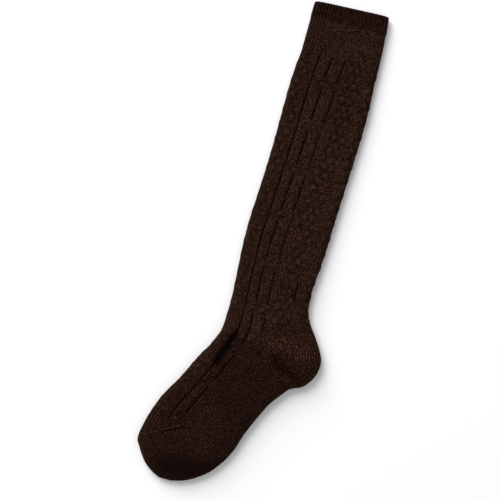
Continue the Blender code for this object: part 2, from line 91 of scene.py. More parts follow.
# down: share of the length below the cuff. front, back: the folds, in half widths from the centreline.
# front_rise, back_rise: how far above that station each end lies, in half widths.
LegRow = namedtuple("LegRow", "down front back front_rise back_rise")
LEG_ROWS = (
    LegRow(0.00, -0.943, 0.950, 0.00, 0.00),
    LegRow(0.06, -0.983, 0.965, 0.00, 0.00),
    LegRow(0.13, -1.000, 0.998, 0.00, 0.00),
    LegRow(0.22, -0.996, 1.009, 0.00, 0.00),
    LegRow(0.33, -0.985, 0.994, 0.00, 0.00),
    LegRow(0.43, -0.994, 0.975, 0.00, 0.00),
    LegRow(0.52, -1.014, 0.957, 0.00, 0.00),
    LegRow(0.61, -1.034, 0.947, 0.00, 0.00),
    LegRow(0.70, -1.016, 0.926, 0.00, 0.02),
    LegRow(0.78, -0.974, 0.890, 0.00, 0.07),
    LegRow(0.85, -0.938, 0.908, 0.00, 0.17),
    LegRow(0.90, -0.925, 0.938, 0.01, 0.32),
    LegRow(0.95, -0.928, 1.030, 0.03, 0.48),
    LegRow(1.00, -0.943, 1.152, 0.06, 0.648),
)
CUFF_ROWS = (
    LegRow(0.00, -0.948, 0.835, -0.056, 0.056),
    LegRow(0.50, -0.948, 0.913, -0.020, 0.020),
    LegRow(1.00, -0.943, 0.950, 0.00, 0.00),
)

# station: share of the foot's length at the side. Each edge: share of the length along the foot's own
# line, and share of its width out from that line, towards the sole.
FootRow = namedtuple("FootRow", "station front_along front_out side_out sole_along sole_out")
FOOT_ROWS = (
    FootRow(0.000, 0.067, -0.375, 0.000, 0.083, 0.678),
    FootRow(0.144, 0.177, -0.357, 0.005, 0.212, 0.620),
    FootRow(0.255, 0.279, -0.372, 0.010, 0.302, 0.610),
    FootRow(0.420, 0.456, -0.378, 0.010, 0.458, 0.615),
    FootRow(0.551, 0.610, -0.402, 0.010, 0.564, 0.641),
    FootRow(0.622, 0.753, -0.378, 0.010, 0.626, 0.643),
    FootRow(TOE_STATION, 0.888, -0.314, 0.015, 0.684, 0.633),
    FootRow(0.765, 0.934, -0.220, 0.045, 0.776, 0.592),
    FootRow(0.850, 0.967, -0.120, 0.090, 0.862, 0.507),
    FootRow(0.930, 0.988, -0.030, 0.140, 0.923, 0.415),
    FootRow(1.000, 1.000, 0.080, 0.180, 0.969, 0.310),
)

# The heel's fold from the leg's last row round to the foot's first: share of the turn, and share of
# the bulge beyond a plain arc.
HeelPoint = namedtuple("HeelPoint", "turn bulge")
HEEL_POINTS = (
    HeelPoint(0.00, 0.00),
    HeelPoint(0.15, 0.27),
    HeelPoint(0.28, 0.59),
    HeelPoint(0.38, 0.86),
    HeelPoint(0.47, 1.00),
    HeelPoint(0.57, 1.00),
    HeelPoint(0.69, 0.91),
    HeelPoint(0.83, 0.62),
    HeelPoint(0.93, 0.20),
    HeelPoint(1.00, 0.00),
)

# The height of the two layers together, and how far in from the fold they reach it, at places along the
# leg's line, in leg widths above the ankle point.
Loft = namedtuple("Loft", "place height reach")
LOFTS = (
    Loft(4.20, 0.0118, 0.016),
    Loft(3.50, 0.0118, 0.016),
    Loft(2.00, 0.0130, 0.018),
    Loft(0.80, 0.0134, 0.018),
    Loft(0.25, 0.0146, 0.019),
    Loft(-0.20, 0.0160, 0.021),
    Loft(-0.90, 0.0152, 0.024),
    Loft(-1.35, 0.0146, 0.028),
    Loft(-1.90, 0.0136, 0.032),
)

# Soft ridges and dents of the top layer, each along a line from its start to its end. All columns are
# shares of the leg's width from the ankle point.
Crease = namedtuple("Crease", "name start_x start_y end_x end_y spread height")
CREASES = (
    Crease("heel ridge", 0.10, 0.020, 0.66, -0.055, 0.060, 0.014),
    Crease("heel dent", 0.14, -0.115, 0.62, -0.190, 0.060, -0.021),
    Crease("ankle fold", -0.205, 0.030, -0.330, -0.330, 0.034, -0.019),
    Crease("ball hollow", -0.10, -0.55, -0.28, -0.85, 0.100, -0.006),
)
CREASE_EDGE = 0.008

# Broad places painted lighter or darker in the knit's colour, in the same columns. Most are painted light and
# shade where the knit catches more or less light than it would lying flat, and one is the painted shade in
# the
# groove beside the toe seam. shade: below 0 for darker.
LightPatch = namedtuple("LightPatch", "name start_x start_y end_x end_y spread shade")
LIGHT_PATCHES = (
    LightPatch("ankle fold", -0.220, 0.020, -0.340, -0.330, 0.056, -1.25),
    LightPatch("heel valley", 0.32, -0.155, 0.63, -0.270, 0.076, -0.96),
    LightPatch("heel slope", 0.20, 0.100, 0.60, 0.070, 0.110, 0.80),
    LightPatch("toe seam", -1.007, -1.434, -0.516, -1.194, 0.013, -1.20),
    LightPatch("toe tip", -0.62, -1.70, -0.04, -1.61, 0.150, -0.62),
    LightPatch("ball", -0.215, -0.98, -0.22, -1.36, 0.110, 0.32),
    LightPatch("sole", 0.12, -0.35, -0.10, -0.95, 0.200, -0.14),
    LightPatch("calf", 0.10, 2.20, 0.10, 0.55, 0.500, 0.16),
    LightPatch("back strip", 0.458, 3.30, 0.440, 0.90, 0.050, 0.40),
    LightPatch("front strip", -0.400, 3.60, -0.400, 0.30, 0.140, -0.24),
)

# The stitch panels from the front fold to the back fold, by the share of the width where each ends, at
# the top, a little above the middle and at the bottom of the section. A border of a rib is a furrow.
Panel = namedtuple("Panel", "kind end_above end_between end_below")
PANEL_KEYS = (0.0, 0.4, 1.0)
LEG_PANELS = (
    Panel("soft bumps", 0.190, 0.160, 0.150),
    Panel("plain", 0.242, 0.210, 0.190),
    Panel("rib", 0.400, 0.345, 0.310),
    Panel("rib", 0.565, 0.490, 0.470),
    Panel("plain", 0.630, 0.570, 0.550),
    Panel("bumps", 0.830, 0.810, 0.790),
    Panel("plain", 0.920, 0.905, 0.895),
    Panel("bumps", 1.000, 1.000, 1.000),
)
FOOT_PANELS = (
    Panel("soft bumps", 0.150, 0.150, 0.155),
    Panel("plain", 0.190, 0.195, 0.200),
    Panel("rib", 0.310, 0.310, 0.315),
    Panel("plain", SIDE_SHARE, SIDE_SHARE, SIDE_SHARE),
    Panel("sole", 1.000, 1.000, 1.000),
)
# The instep's pattern ends between these distances from the leg, gone at the first and full at the second
FOOT_PATTERN_END = (0.121, 0.111)
SOLE_EDGE = 0.02

# The leg's pattern stops above this line, from the side to the back, and the plain heel knit begins. The
# line has a soft edge and a soft start at the side.
HEEL_TOP_SIDE = (0.0074, 0.0181)
HEEL_TOP_BACK = (0.0606, 0.0322)
HEEL_TOP_EDGE = 0.003
HEEL_TOP_START = (0.003, -0.002)

# Where the cables cross, by the distance below the cuff, on the leg and then on the foot
CROSSINGS = (0.0300, 0.0790, 0.1285, 0.1820, 0.2360, 0.2870, 0.3350, 0.3830, 0.4330)
CROSSING_HALF_LENGTH = 0.0085
CROSSING_FULL_SHARE = 0.55

# The furrows beside the cables' ribs, by the panels before and after each. shut: how far a crossing
# closes it. depth: share of the full depth.
Furrow = namedtuple("Furrow", "shut depth")
FURROWS = {
    ("plain", "rib"): Furrow(0.20, 0.90),
    ("rib", "rib"): Furrow(0.95, 0.95),
    ("rib", "plain"): Furrow(0.95, 0.85),
}
FURROW_HALF_WIDTH = 0.0010
# The furrows are painted darker, as shade, and the cables' round ribs lighter on top, as light
FURROW_SHADE = 1.05
PANEL_EDGE = 0.0012
CABLE_SHADE = 0.12

# The knots of yarn where two ribs cross, which are like the bumps but closer together
KNOT_ACROSS = 0.13
KNOT_START = 0.002
KNOT_ALONG = 1.35
KNOT_HEIGHT = 1.25
# The knots are painted lighter on top and darker at their feet, as light and shade
KNOT_SHADE = 0.9
KNOT_FOOT_SHADE = 0.38

# A single furrow low on the leg, behind the broad panel of bumps, between shares of the leg's length
LOW_FURROW_BORDER = 6
LOW_FURROW_START = (0.765, 0.785)
LOW_FURROW_END = (0.855, 0.835)
LOW_FURROW_HALF_WIDTH = 0.0011
LOW_FURROW_DEPTH = 0.7
# The low furrow is painted darker, as shade
LOW_FURROW_SHADE = 0.9

# The staggered bumps: their spacing, and their half size and how far they stray, both across and along.
# They are uneven in height, and the knit between them lies lower than plain knit.
BUMP_STRENGTHS = {"bumps": 1.0, "soft bumps": 0.5}
BUMP_ACROSS = 0.0093
BUMP_ALONG = 0.0168
BUMP_HALF_SIZE = (0.0043, 0.0047)
BUMP_STRAY = (0.0008, 0.0011)
BUMP_UNEVENNESS = 0.35
BUMP_ROUNDNESS = 1.4
BUMP_SINK = 0.35
# The bumps are painted lighter on top and darker at their feet, as light and shade
BUMP_SHADE = 1.05
BUMP_FOOT_SHADE = 0.34
BUMP_SEED = 7
BUMP_REPEAT = 64

# Wales and courses, the knit's columns and rows. A wale's crest stands above its middle height, and is
# painted lighter than its middle shade.
WALE_PITCH = 0.0029
FOOT_WALE_PITCH = 0.93 * WALE_PITCH
COURSE_PITCH = 0.0021
WALE_ROUNDNESS = 0.7
WALE_SINK = 0.55
WALE_MIDDLE = 0.62
LEG_WALE_SHADE = 0.20
# The leg's heel zone is made as light as the heel, and the lining inside is painted darker, as shade
HEEL_ZONE_SHADE = 0.85
INNER_SHADE = -0.5

# Relief fades in over these lengths from a section's border, and is pressed flat underneath: only what
# lies below a share of its full height stays, and less of that
RELIEF_EDGE = 0.003
FOOT_RELIEF_EDGE = 0.004
PRESSED_LEVEL = 0.5
PRESSED_DEPTH = 0.3

# The cuff's ribs, which stand out most near the folds and all round on the hem, and fade towards the leg
RIB_PITCH = 0.00364
RIB_ROUNDNESS = 1.3
RIB_SINK = 0.7
RIB_MIDDLE = 0.66
RIB_STRENGTH = 0.22
RIB_STRENGTH_AT_FOLD = 0.65
RIB_STRENGTH_ON_HEM = 0.55
RIB_FOLD_REACH = 0.012
RIB_END_LENGTH = 0.004
RIB_END_SHARE = 0.6
RIB_GROOVE_HALF_WIDTH = 0.0007
# The ribs' crests are painted lighter and the grooves between them by the front fold darker, as light and
# shade; the hem is darker
RIB_GROOVE_SHADE = 1.2
CUFF_RIB_SHADE = 0.9
HEM_END = (HEM_LENGTH + 0.0010, HEM_LENGTH - 0.0020)
HEM_SHADE = 0.34

# The rolled edge of the mouth: its inset, its rows, how far it swells and the courses that it takes up
MOUTH_INSET = 0.0016
MOUTH_STEPS = 8
MOUTH_LIFT = 0.45
MOUTH_SCALLOP = 0.17
MOUTH_COURSES = (2.0, 0.2)
# The rolled mouth is painted darker, as shade
MOUTH_SHADE = 0.1

# The heel: the share of its turn at the gore line, where its wales change direction, the length that its
# wales are counted over, and the wales below the gore, which follow the foot
GORE_TURN = 0.56
GORE_EDGE = 0.04
HEEL_REACH = 0.0725
HEEL_COURSE_START = 0.2
HEEL_POINT_FADE = (0.004, 0.012)
FOOT_WALE_RUN = (-0.53, -0.85)
LOWER_HEEL_PITCH = 0.0027
LOWER_WALE_DEPTH = 1.2
UPPER_WALE_DEPTH = 0.8
# The wales' painted light and shade below and above the gore, and how much of the valley's painted shade
# their crests keep off
LOWER_WALE_SHADE = 1.1
UPPER_WALE_SHADE = 0.2
VALLEY_WALE_SHARE = 0.4

# The toe cap's columns and rows against the other sections', and its wall at the tip against the rest
TOE_STEP_SCALE = 1.15
TOE_ROWS_SCALE = 1.35
TOE_WALL_SCALE = 1.4

# The linked seam: a bead of stitches that lies this far up the foot from the toe cap's edge
SEAM_RADIUS = 0.0008
SEAM_STEP = 0.0006
SEAM_STATION_STEP = 0.004
SEAM_FRONT_SHIFT = 0.0030
SEAM_SIDE_SHIFT = 0.0062
SEAM_OVERRUN = 0.01
SEAM_END_KNOTS = 12.0
SEAM_SIDES = 8
SEAM_SWELL = 0.28
SEAM_FLATNESS = 0.8
SEAM_SINK = 0.2
# The bead's twists are painted lighter, as highlights, and darker between them
SEAM_SHADE = 0.45

# The borders between panels bend round the ankle, most in the middle of the instep
ANKLE_BEND = 0.024
ANKLE_BEND_LENGTH = 0.026
ANKLE_BEND_RISE = (0.0, 0.15)
ANKLE_BEND_FALL = (0.55, 0.35)

# Mesh of the skins
LINING_ROWS = {"cuff": 12, "leg": 14, "foot": 12, "toe": 16}
OUTLINE_STEPS = np.linspace(0.0, 1.0, 61)
POINTS_AT_ONCE = 4000
MERGE_DISTANCE = 1e-7
SMALLEST_FACE = 1e-13

# Drawn stitches: how unevenly they lie, their slant and form, and the heights and places that are painted
# dark, as shade
STITCH_SHAKE_SCALE = 330.0
STITCH_SHAKE = 0.3
STITCH_SHAKE_ACROSS = 0.6
STITCH_SLANT = 0.75
LOOP_SQUARENESS = 2.6
LEG_FULLNESS = 0.6
CREVICE_LEVELS = (0.55, 0.12)
GROOVE_LEVELS = (0.35, 0.75)

# Heathered yarn: tufts of fibre of one colour, finer fibres, and broad changes from batch to batch
TUFTS_TO_A_STITCH = (4.0, 3.0, 1.0)
FIBRE_SCALE = 2000.0
FIBRE_SHARE = 1.2
BATCH_SCALE = 170.0
BATCH_SHARE = 0.10
MOTTLE_MIDDLE = 0.70
BASE_LEVELS = (0.55, 0.95)
FLECK_LEVELS = (0.80, 1.05)
REDDER = (1.10, 0.90, 0.84, 1.0)
BLUER = (0.90, 1.06, 1.12, 1.0)
LIT_SHARE = 0.6
DARKEST_GLOW = 0.06
SHADOW_GREEN_LOSS = 0.30
SHADOW_BLUE_LOSS = 0.35
CALM_GRAIN_LOSS = 0.4
FUZZ_SHARE = 0.5

# The colour and the painted shade of each section. gain: its colour against the yarn's. crevice, groove: how
# dark it is painted between stitches and between wales, as shade. grain: how much its colour varies.
ToneAndShade = namedtuple("ToneAndShade", "gain crevice groove grain")
TONES_AND_SHADES = {
    "cuff": ToneAndShade((1.05, 1.06, 1.12), 0.5, 0.0, 1.0),
    "leg": ToneAndShade((1.08, 1.07, 1.06), 0.5, 0.2, 1.0),
    "heel": ToneAndShade((1.58, 1.46, 1.42), 0.25, 1.0, 0.75),
    "foot": ToneAndShade((1.11, 0.965, 0.965), 0.6, 0.9, 1.3),
    "toe": ToneAndShade((1.12, 0.975, 0.975), 0.6, 0.9, 1.25),
}

# The photograph's view: its centre from the ankle point, the width that it shows and its roll
VIEW_CENTRE = (-0.0304, 0.0959)
VIEW_WIDTH = 0.550
VIEW_ROLL = math.radians(16.0)
LENS = 85.0
SENSOR = 36.0

# Light: a large soft window up and to the left in the image, with pale walls all round
WORLD_STRENGTH = 0.53
LIGHT_SIZE = 4.0
LIGHT_PLACE = (-3.12, 2.95, 2.58)
LIGHT_POWER = 365.0
FLOOR_COLOUR = (0.92, 0.92, 0.92)
FLOOR_HALF_SIZE = 4.0
FLOOR_DROP = 0.0002


def curve_values(keys, values, at):
    """The values at many places on a smooth curve through the values at the keys."""
    keys, values = np.asarray(keys, float), np.asarray(values, float)
    at = np.clip(at, keys[0], keys[-1])
    low = np.maximum(np.arange(len(keys)) - 1, 0)
    high = np.minimum(np.arange(len(keys)) + 1, len(keys) - 1)
    slopes = (values[high] - values[low]) / (keys[high] - keys[low])
    i = np.clip(np.searchsorted(keys, at, side="left") - 1, 0, len(keys) - 2)
    span = keys[i + 1] - keys[i]
    t = (at - keys[i]) / span
    return (
        (1 + 2 * t) * (1 - t) ** 2 * values[i]
        + t * (1 - t) ** 2 * span * slopes[i]
        + t * t * (3 - 2 * t) * values[i + 1]
        + t * t * (t - 1) * span * slopes[i + 1]
    )


def table_columns(table, at):
    """Every column of a section table at many stations, its first column being the station."""
    keys = [row[0] for row in table]
    return table[0].__class__(*(curve_values(keys, column, at) for column in zip(*table)))


def plan(x, y):
    """Plan points from their x and y."""
    return np.stack(np.broadcast_arrays(x, y), axis=-1).astype(float)


def mix_values(a, b, share):
    """Values between a at share 0 and b at share 1."""
    return a + (b - a) * share


def mix(a, b, share):
    """Points between a at share 0 and b at share 1."""
    return a + (b - a) * np.asarray(share)[..., None]


def unit(vectors):
    """Vectors at length 1."""
    return vectors / np.maximum(np.linalg.norm(vectors, axis=-1, keepdims=True), 1e-12)


def smooth_step(low, high, value):
    """0 on the low side and 1 on the high side, with a soft step between. low may be the larger."""
    t = np.clip((value - low) / (high - low), 0.0, 1.0)
    return t * t * (3 - 2 * t)


def bell(distance, half_width):
    """1 at no distance, and fading to 0 beyond the half width."""
    return np.exp(-((distance / half_width) ** 2))


# A set of rows across the sock: arrays of the plan points of the front fold, the side and the back fold
Rows = namedtuple("Rows", "front side back")


def upright_rows(rows, top, length, bend):
    """Rows of the cuff or the leg, from their table. bend draws the side point towards the ankle point."""
    half = LEG_WIDTH / 2
    centre = LEG_CENTRE_SHARE * LEG_WIDTH
    station = top - rows.down * length
    front = plan(centre + rows.front * half, station + rows.front_rise * half)
    back = plan(centre + rows.back * half, station + rows.back_rise * half)
    side = mix(front, back, np.full(len(front), SIDE_SHARE))
    return Rows(front, side * (1.0 - bend)[:, None], back)


def cuff_rows(down):
    """Rows of the cuff."""
    down = np.atleast_1d(down)
    return upright_rows(table_columns(CUFF_ROWS, down), LEG_LENGTH + CUFF_LENGTH, CUFF_LENGTH, 0.0 * down)


def leg_rows(down):
    """Rows of the leg. The side point bends down to the ankle point over the last few."""
    down = np.atleast_1d(down)
    start = LEG_ROWS[-5].down
    bend = np.maximum(0.0, (down - start) / (1.0 - start)) ** 2
    return upright_rows(table_columns(LEG_ROWS, down), LEG_LENGTH, LEG_LENGTH, bend)


FOOT_LINE = np.array((-math.sin(FOOT_TURN), -math.cos(FOOT_TURN)))
FOOT_ACROSS = np.array((math.cos(FOOT_TURN), -math.sin(FOOT_TURN)))


def foot_points(along, out):
    """Plan points of the foot, from shares of its length and of its width out towards the sole."""
    along, out = np.asarray(along)[..., None], np.asarray(out)[..., None]
    return FOOT_LINE * along * FOOT_LENGTH + FOOT_ACROSS * out * FOOT_WIDTH


def foot_rows(station):
    """Rows of the foot and the toe cap. The first starts at the leg's last point on the front fold."""
    station = np.atleast_1d(station)
    rows = table_columns(FOOT_ROWS, station)
    front = foot_points(rows.front_along, rows.front_out)
    side = foot_points(rows.station, rows.side_out)
    meet = np.maximum(0.0, 1.0 - station / FOOT_ROWS[2].station) ** 2
    start = foot_points(FOOT_ROWS[0].front_along, FOOT_ROWS[0].front_out)
    front = front + (leg_rows(1.0).front[0] - start) * meet[:, None]
    return Rows(front, side, foot_points(rows.sole_along, rows.sole_out))


def heel_edge(turn):
    """Plan points on the heel's fold, from the leg's last row at 0 round to the foot's first at 1."""
    turn = np.atleast_1d(turn)
    ends = (leg_rows(1.0).back[0], foot_rows(0.0).back[0])
    angles = [math.atan2(p[1], p[0]) for p in ends]
    reaches = [float(np.linalg.norm(p)) for p in ends]
    bulge = curve_values([p.turn for p in HEEL_POINTS], [p.bulge for p in HEEL_POINTS], turn)
    at = angles[0] + (angles[1] - angles[0]) * turn
    out = reaches[0] + (reaches[1] - reaches[0]) * turn + HEEL_BULGE * bulge
    return plan(np.cos(at), np.sin(at)) * out[:, None]


def on_rows(rows, share):
    """Plan points [row, column] at shares [row, column] of the rows, which turn at the side point."""
    share = np.asarray(share)
    first = mix(rows.front[:, None], rows.side[:, None], np.clip(share / SIDE_SHARE, 0.0, 1.0))
    rest = np.clip((share - SIDE_SHARE) / (1.0 - SIDE_SHARE), 0.0, 1.0)
    return first + mix(rows.side[:, None], rows.back[:, None], rest) - rows.side[:, None]


def folded_outline():
    """The outline of the folds: down the front, round the toe and the heel and up the back."""
    cuff, leg, foot = cuff_rows(OUTLINE_STEPS[::6]), leg_rows(OUTLINE_STEPS), foot_rows(OUTLINE_STEPS)
    front = [cuff.front, leg.front, foot.front, foot.side[-1:]]
    back = [foot.back[::-1], heel_edge(OUTLINE_STEPS)[::-1], leg.back[::-1], cuff.back[::-1]]
    return np.concatenate(front + back)


OUTLINE = folded_outline()


def fold_depths(points):
    """How far each plan point lies inside the nearest fold."""
    flat = points.reshape(-1, 2)
    start, run = OUTLINE[:-1], OUTLINE[1:] - OUTLINE[:-1]
    length_2 = np.maximum((run**2).sum(axis=1), 1e-14)
    depths = []
    for part in np.array_split(flat, max(1, len(flat) // POINTS_AT_ONCE)):
        away = part[:, None, :] - start
        place = np.clip((away * run).sum(axis=2) / length_2, 0.0, 1.0)
        depths.append(np.sqrt(((away - run * place[..., None]) ** 2).sum(axis=2).min(axis=1)))
    return np.concatenate(depths).reshape(points.shape[:-1])


def line_distance(points, line):
    """How far plan points lie from a named line between two places."""
    start = np.array((line.start_x, line.start_y)) * LEG_WIDTH
    run = np.array((line.end_x, line.end_y)) * LEG_WIDTH - start
    place = np.clip(((points - start) @ run) / (run @ run), 0.0, 1.0)
    return np.linalg.norm(points - start - place[..., None] * run, axis=-1)


def crease_heights(points, depth):
    """Height that the ridges and dents add to the top layer, none of it on the fold itself."""
    total = np.zeros(points.shape[:-1])
    for crease in CREASES:
        away = line_distance(points, crease)
        total += crease.height * LEG_WIDTH * bell(away, crease.spread * LEG_WIDTH)
    return total * np.clip(depth / CREASE_EDGE, 0.0, 1.0)


def painted_patch_shade(points):
    """Painted light and shade of the broad lighter and darker places."""
    total = np.zeros(points.shape[:-1])
    for patch in LIGHT_PATCHES:
        away = line_distance(points, patch)
        total += patch.shade * bell(away, patch.spread * LEG_WIDTH)
    return total


def layer_heights(points, depth, inset):
    """Heights of the under and the top surface, for a skin that lies inset inside the knit."""
    radius = FOLD_RADIUS - inset
    left = np.maximum(0.0, radius - np.maximum(depth, 0.0))
    under = inset + radius - np.sqrt(radius**2 - left**2)
    keys = [-loft.place for loft in LOFTS]
    at = -points[..., 1] / LEG_WIDTH
    height = curve_values(keys, [loft.height for loft in LOFTS], at)
    reach = curve_values(keys, [loft.reach for loft in LOFTS], at) - inset
    short = 1.0 - np.clip(depth, 0.0, reach) / reach
    rise = (1.0 - short**FOLD_SQUARENESS) ** (1.0 / FOLD_SQUARENESS)
    crease = crease_heights(points, depth)
    top = FOLD_RADIUS + (height - inset - FOLD_RADIUS) * rise
    return under, top + (np.minimum(crease, 0.0) if inset else crease)


# Places the ankle point, from which all the above is measured, in the frame of the solids
ANKLE = np.array(
    (
        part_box("heel")[1][0] - heel_edge(OUTLINE_STEPS)[:, 0].max(),
        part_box("toe_cap")[0][1] - OUTLINE[:, 1].min(),
    )
)

# The columns round a section, from the front fold over the top, round the back fold and back
# underneath. share: of the width. arc: metres of surface from the front fold. top: on the top layer.
Ring = namedtuple("Ring", "share arc top")


def depth_in_plan(near):
    """How far inside a fold, seen from above, a point lies that is this far from it along the skin."""
    bent = BEND_RADIUS * (1.0 - np.cos(np.minimum(near / BEND_RADIUS, math.pi / 2)))
    return np.where(near < BEND_RADIUS * math.pi / 2, bent, near - BEND_EXTRA)


def layer_shares(arc, width):
    """Share of the width at distances along a layer's surface, which bends round a fold at each end."""
    length = width + 2 * BEND_EXTRA
    depth = depth_in_plan(np.minimum(arc, length - arc))
    return np.where(arc < length / 2, depth, width - depth) / width


def section_ring(width, top_step, under_step):
    """The ring of a section, with a step of its own for each layer."""
    length = width + 2 * BEND_EXTRA
    top = np.linspace(0.0, length, round(length / top_step) + 1)
    under = np.linspace(length, 0.0, round(length / under_step) + 1)[1:]
    share = np.concatenate([layer_shares(top, width), layer_shares(under, width)])
    arc = np.concatenate([top, 2 * length - under])
    return Ring(np.clip(share, 0.0, 1.0), arc, np.arange(len(share)) < len(top))


def panel_borders(panels, share, from_ankle):
    """The panels' borders at shares of the section's length, [row, border], with both folds.

    from_ankle is each row's distance from the ankle, near which the borders bend in a soft curve.
    """
    ends = np.stack([curve_values(PANEL_KEYS, panel[1:], share) for panel in panels[:-1]], axis=1)
    bend = ANKLE_BEND * np.maximum(0.0, 1.0 - np.abs(from_ankle) / ANKLE_BEND_LENGTH) ** 2
    ends = ends - bend[:, None] * smooth_step(*ANKLE_BEND_RISE, ends) * smooth_step(*ANKLE_BEND_FALL, ends)
    return np.concatenate([np.zeros((len(ends), 1)), ends, np.ones((len(ends), 1))], axis=1)


def ring_shares(ring, panels, borders):
    """Shares of the width, [row, column], that follow the panels as they narrow down the section."""
    middle = [0.0, *(panel.end_between for panel in panels[:-1]), 1.0]
    return np.array([np.interp(ring.share, middle, row) for row in borders])


# The outer skin of a section before its relief: points and outward normals [row, column], and how far
# each point lies inside the fold
Skin = namedtuple("Skin", "points normals depth")


def skin_points(where, top, inset, on_fold):
    """Points of one skin over plan points, all [row, column]. top tells the layers apart."""
    depth = np.where(on_fold, 0.0, np.maximum(fold_depths(where) - inset, SKIN_GAP))
    low, high = layer_heights(where, depth, inset)
    z = np.where(on_fold, FOLD_RADIUS, np.where(top, high, low))
    return np.concatenate([where, z[..., None]], axis=-1), depth


def outward_normals(points, closed):
    """Normals of a grid of points. closed means that its last column lies on its first."""
    across = np.gradient(points, axis=1)
    if closed:
        across[:, 0] = across[:, -1] = (points[:, 1] - points[:, -2]) / 2
    along = np.gradient(points, axis=0)
    return unit(np.cross(along, across))


def end_shift(count, first, last):
    """A small move of the first and the last row of a section, towards its middle."""
    shift = np.zeros((count, 1, 2))
    shift[0, 0], shift[-1, 0] = first, last
    return shift


def inner_rows(rows, heart=None):
    """Rows with their ends a wall's thickness inside the folds, drawn in towards a heart at the last."""
    share = np.linspace(0.0, 1.0, len(rows.front))
    middle = rows.side if heart is None else mix(rows.side, heart, share)
    front = rows.front + unit(middle - rows.front) * WALL
    return Rows(front, rows.side, rows.back + unit(middle - rows.back) * WALL)


BUMP_NOISE = np.random.RandomState(BUMP_SEED).uniform(-1.0, 1.0, (3, BUMP_REPEAT, BUMP_REPEAT))


def bump_heights(across, along):
    """Relief of the staggered bumps, 0 between them and 1 on top, from metres across and along."""
    best = np.zeros(np.broadcast(across, along).shape)
    for half in (0.0, 0.5):
        i = np.round(across / BUMP_ACROSS - half)
        j = np.round(along / BUMP_ALONG - half)
        row = (j.astype(int) * 2 + int(half * 2)) % BUMP_REPEAT
        noise = BUMP_NOISE[:, i.astype(int) % BUMP_REPEAT, row]
        x = (across / BUMP_ACROSS - half - i) * BUMP_ACROSS + noise[0] * BUMP_STRAY[0]
        y = (along / BUMP_ALONG - half - j) * BUMP_ALONG + noise[1] * BUMP_STRAY[1]
        away = (x / BUMP_HALF_SIZE[0]) ** 2 + (y / BUMP_HALF_SIZE[1]) ** 2
        size = 1.0 + BUMP_UNEVENNESS * noise[2]
        best = np.maximum(best, size * np.clip(1.0 - away, 0.0, 1.0) ** BUMP_ROUNDNESS)
    return best


def crossing_weights(along):
    """1 in the middle of a cable crossing and 0 between crossings."""
    away = np.min([np.abs(along - crossing) for crossing in CROSSINGS], axis=0)
    return smooth_step(CROSSING_HALF_LENGTH, CROSSING_HALF_LENGTH * CROSSING_FULL_SHARE, away)


def cable_relief(knit, panels, ring, shares, borders, width, along, pattern):
    """Relief of a patterned section in metres and its painted light and shade, -1 to 1, [row, column].

    pattern fades it, and is 1 where the pattern is full.
    """
    height = np.zeros(shares.shape)
    shade = np.zeros(shares.shape)
    across = np.broadcast_to(ring.arc, shares.shape)
    down = np.broadcast_to(along, shares.shape)
    crossing = crossing_weights(down)
    bumps = bump_heights(across, down)
    edge = PANEL_EDGE / width
    for number, panel in enumerate(panels):
        low, high = borders[:, number, None], borders[:, number + 1, None]
        inside = smooth_step(low - edge, low + edge, shares) * pattern
        inside = inside * (1.0 - smooth_step(high - edge, high + edge, shares))
        place = np.clip((shares - low) / (high - low), 0.0, 1.0)
        if panel.kind in BUMP_STRENGTHS:
            strength = BUMP_STRENGTHS[panel.kind] * inside
            height += strength * knit.bump_height * (bumps - BUMP_SINK)
            shade += strength * (BUMP_SHADE * bumps**BUMP_ROUNDNESS - BUMP_FOOT_SHADE)
        elif panel.kind == "rib":
            round_top = 1.0 - np.abs(2.0 * place - 1.0) ** 3
            knots = bump_heights(place * width * KNOT_ACROSS + KNOT_START, down * KNOT_ALONG)
            height += inside * knit.rib_height * mix_values(round_top, KNOT_HEIGHT * knots, crossing)
            shade += inside * (CABLE_SHADE * round_top + crossing * (KNOT_SHADE * knots - KNOT_FOOT_SHADE))
    for number in range(len(panels) - 1):
        beside = FURROWS.get((panels[number].kind, panels[number + 1].kind))
        if beside is None:
            continue
        away = (shares - borders[:, number + 1, None]) * width
        depth = (1.0 - beside.shut * crossing) * beside.depth * pattern * bell(away, FURROW_HALF_WIDTH)
        height -= knit.furrow_depth * depth
        shade -= FURROW_SHADE * depth
    return height, shade


def lay_relief(skin, top, relief):
    """Moves the outer skin out by its relief, which is pressed flat where the sock rests."""
    pressed = np.clip(skin.depth / FOLD_RADIUS, 0.0, 1.0) * ~top
    low = PRESSED_DEPTH * np.minimum(relief - relief.max() * PRESSED_LEVEL, 0.0)
    points = skin.points + skin.normals * mix_values(relief, low, pressed)[..., None]
    points[..., 2] = np.maximum(points[..., 2], 0.0)
    return points


def grid_in_mesh(mesh, points, uv, shade, calm=None):
    """Adds a grid of points [row, column] to a mesh, with its stitch count and painted light and shade.

    calm is 1 where the knit is as plain as the heel's, and 0 elsewhere.
    """
    rows, columns = points.shape[:2]
    made = bmesh.ops.create_grid(mesh, x_segments=columns - 1, y_segments=rows - 1, size=0.5)["verts"]
    place = np.array([vert.co[:2] for vert in made]) + 0.5
    column = np.rint(place[:, 0] * (columns - 1)).astype(int)
    row = np.rint(place[:, 1] * (rows - 1)).astype(int)
    uv_layer = mesh.loops.layers.uv["stitches"]
    shade_layer = mesh.verts.layers.float["shade"]
    calm_layer = mesh.verts.layers.float["calm"]
    calm = np.zeros(shade.shape) if calm is None else calm
    values = [layer[row, column].tolist() for layer in (points, uv, shade, calm)]
    for vert, spot, count, light, plain in zip(made, *values):
        vert.co = spot
        vert[shade_layer] = light
        vert[calm_layer] = plain
        for loop in vert.link_loops:
            loop[uv_layer].uv = count


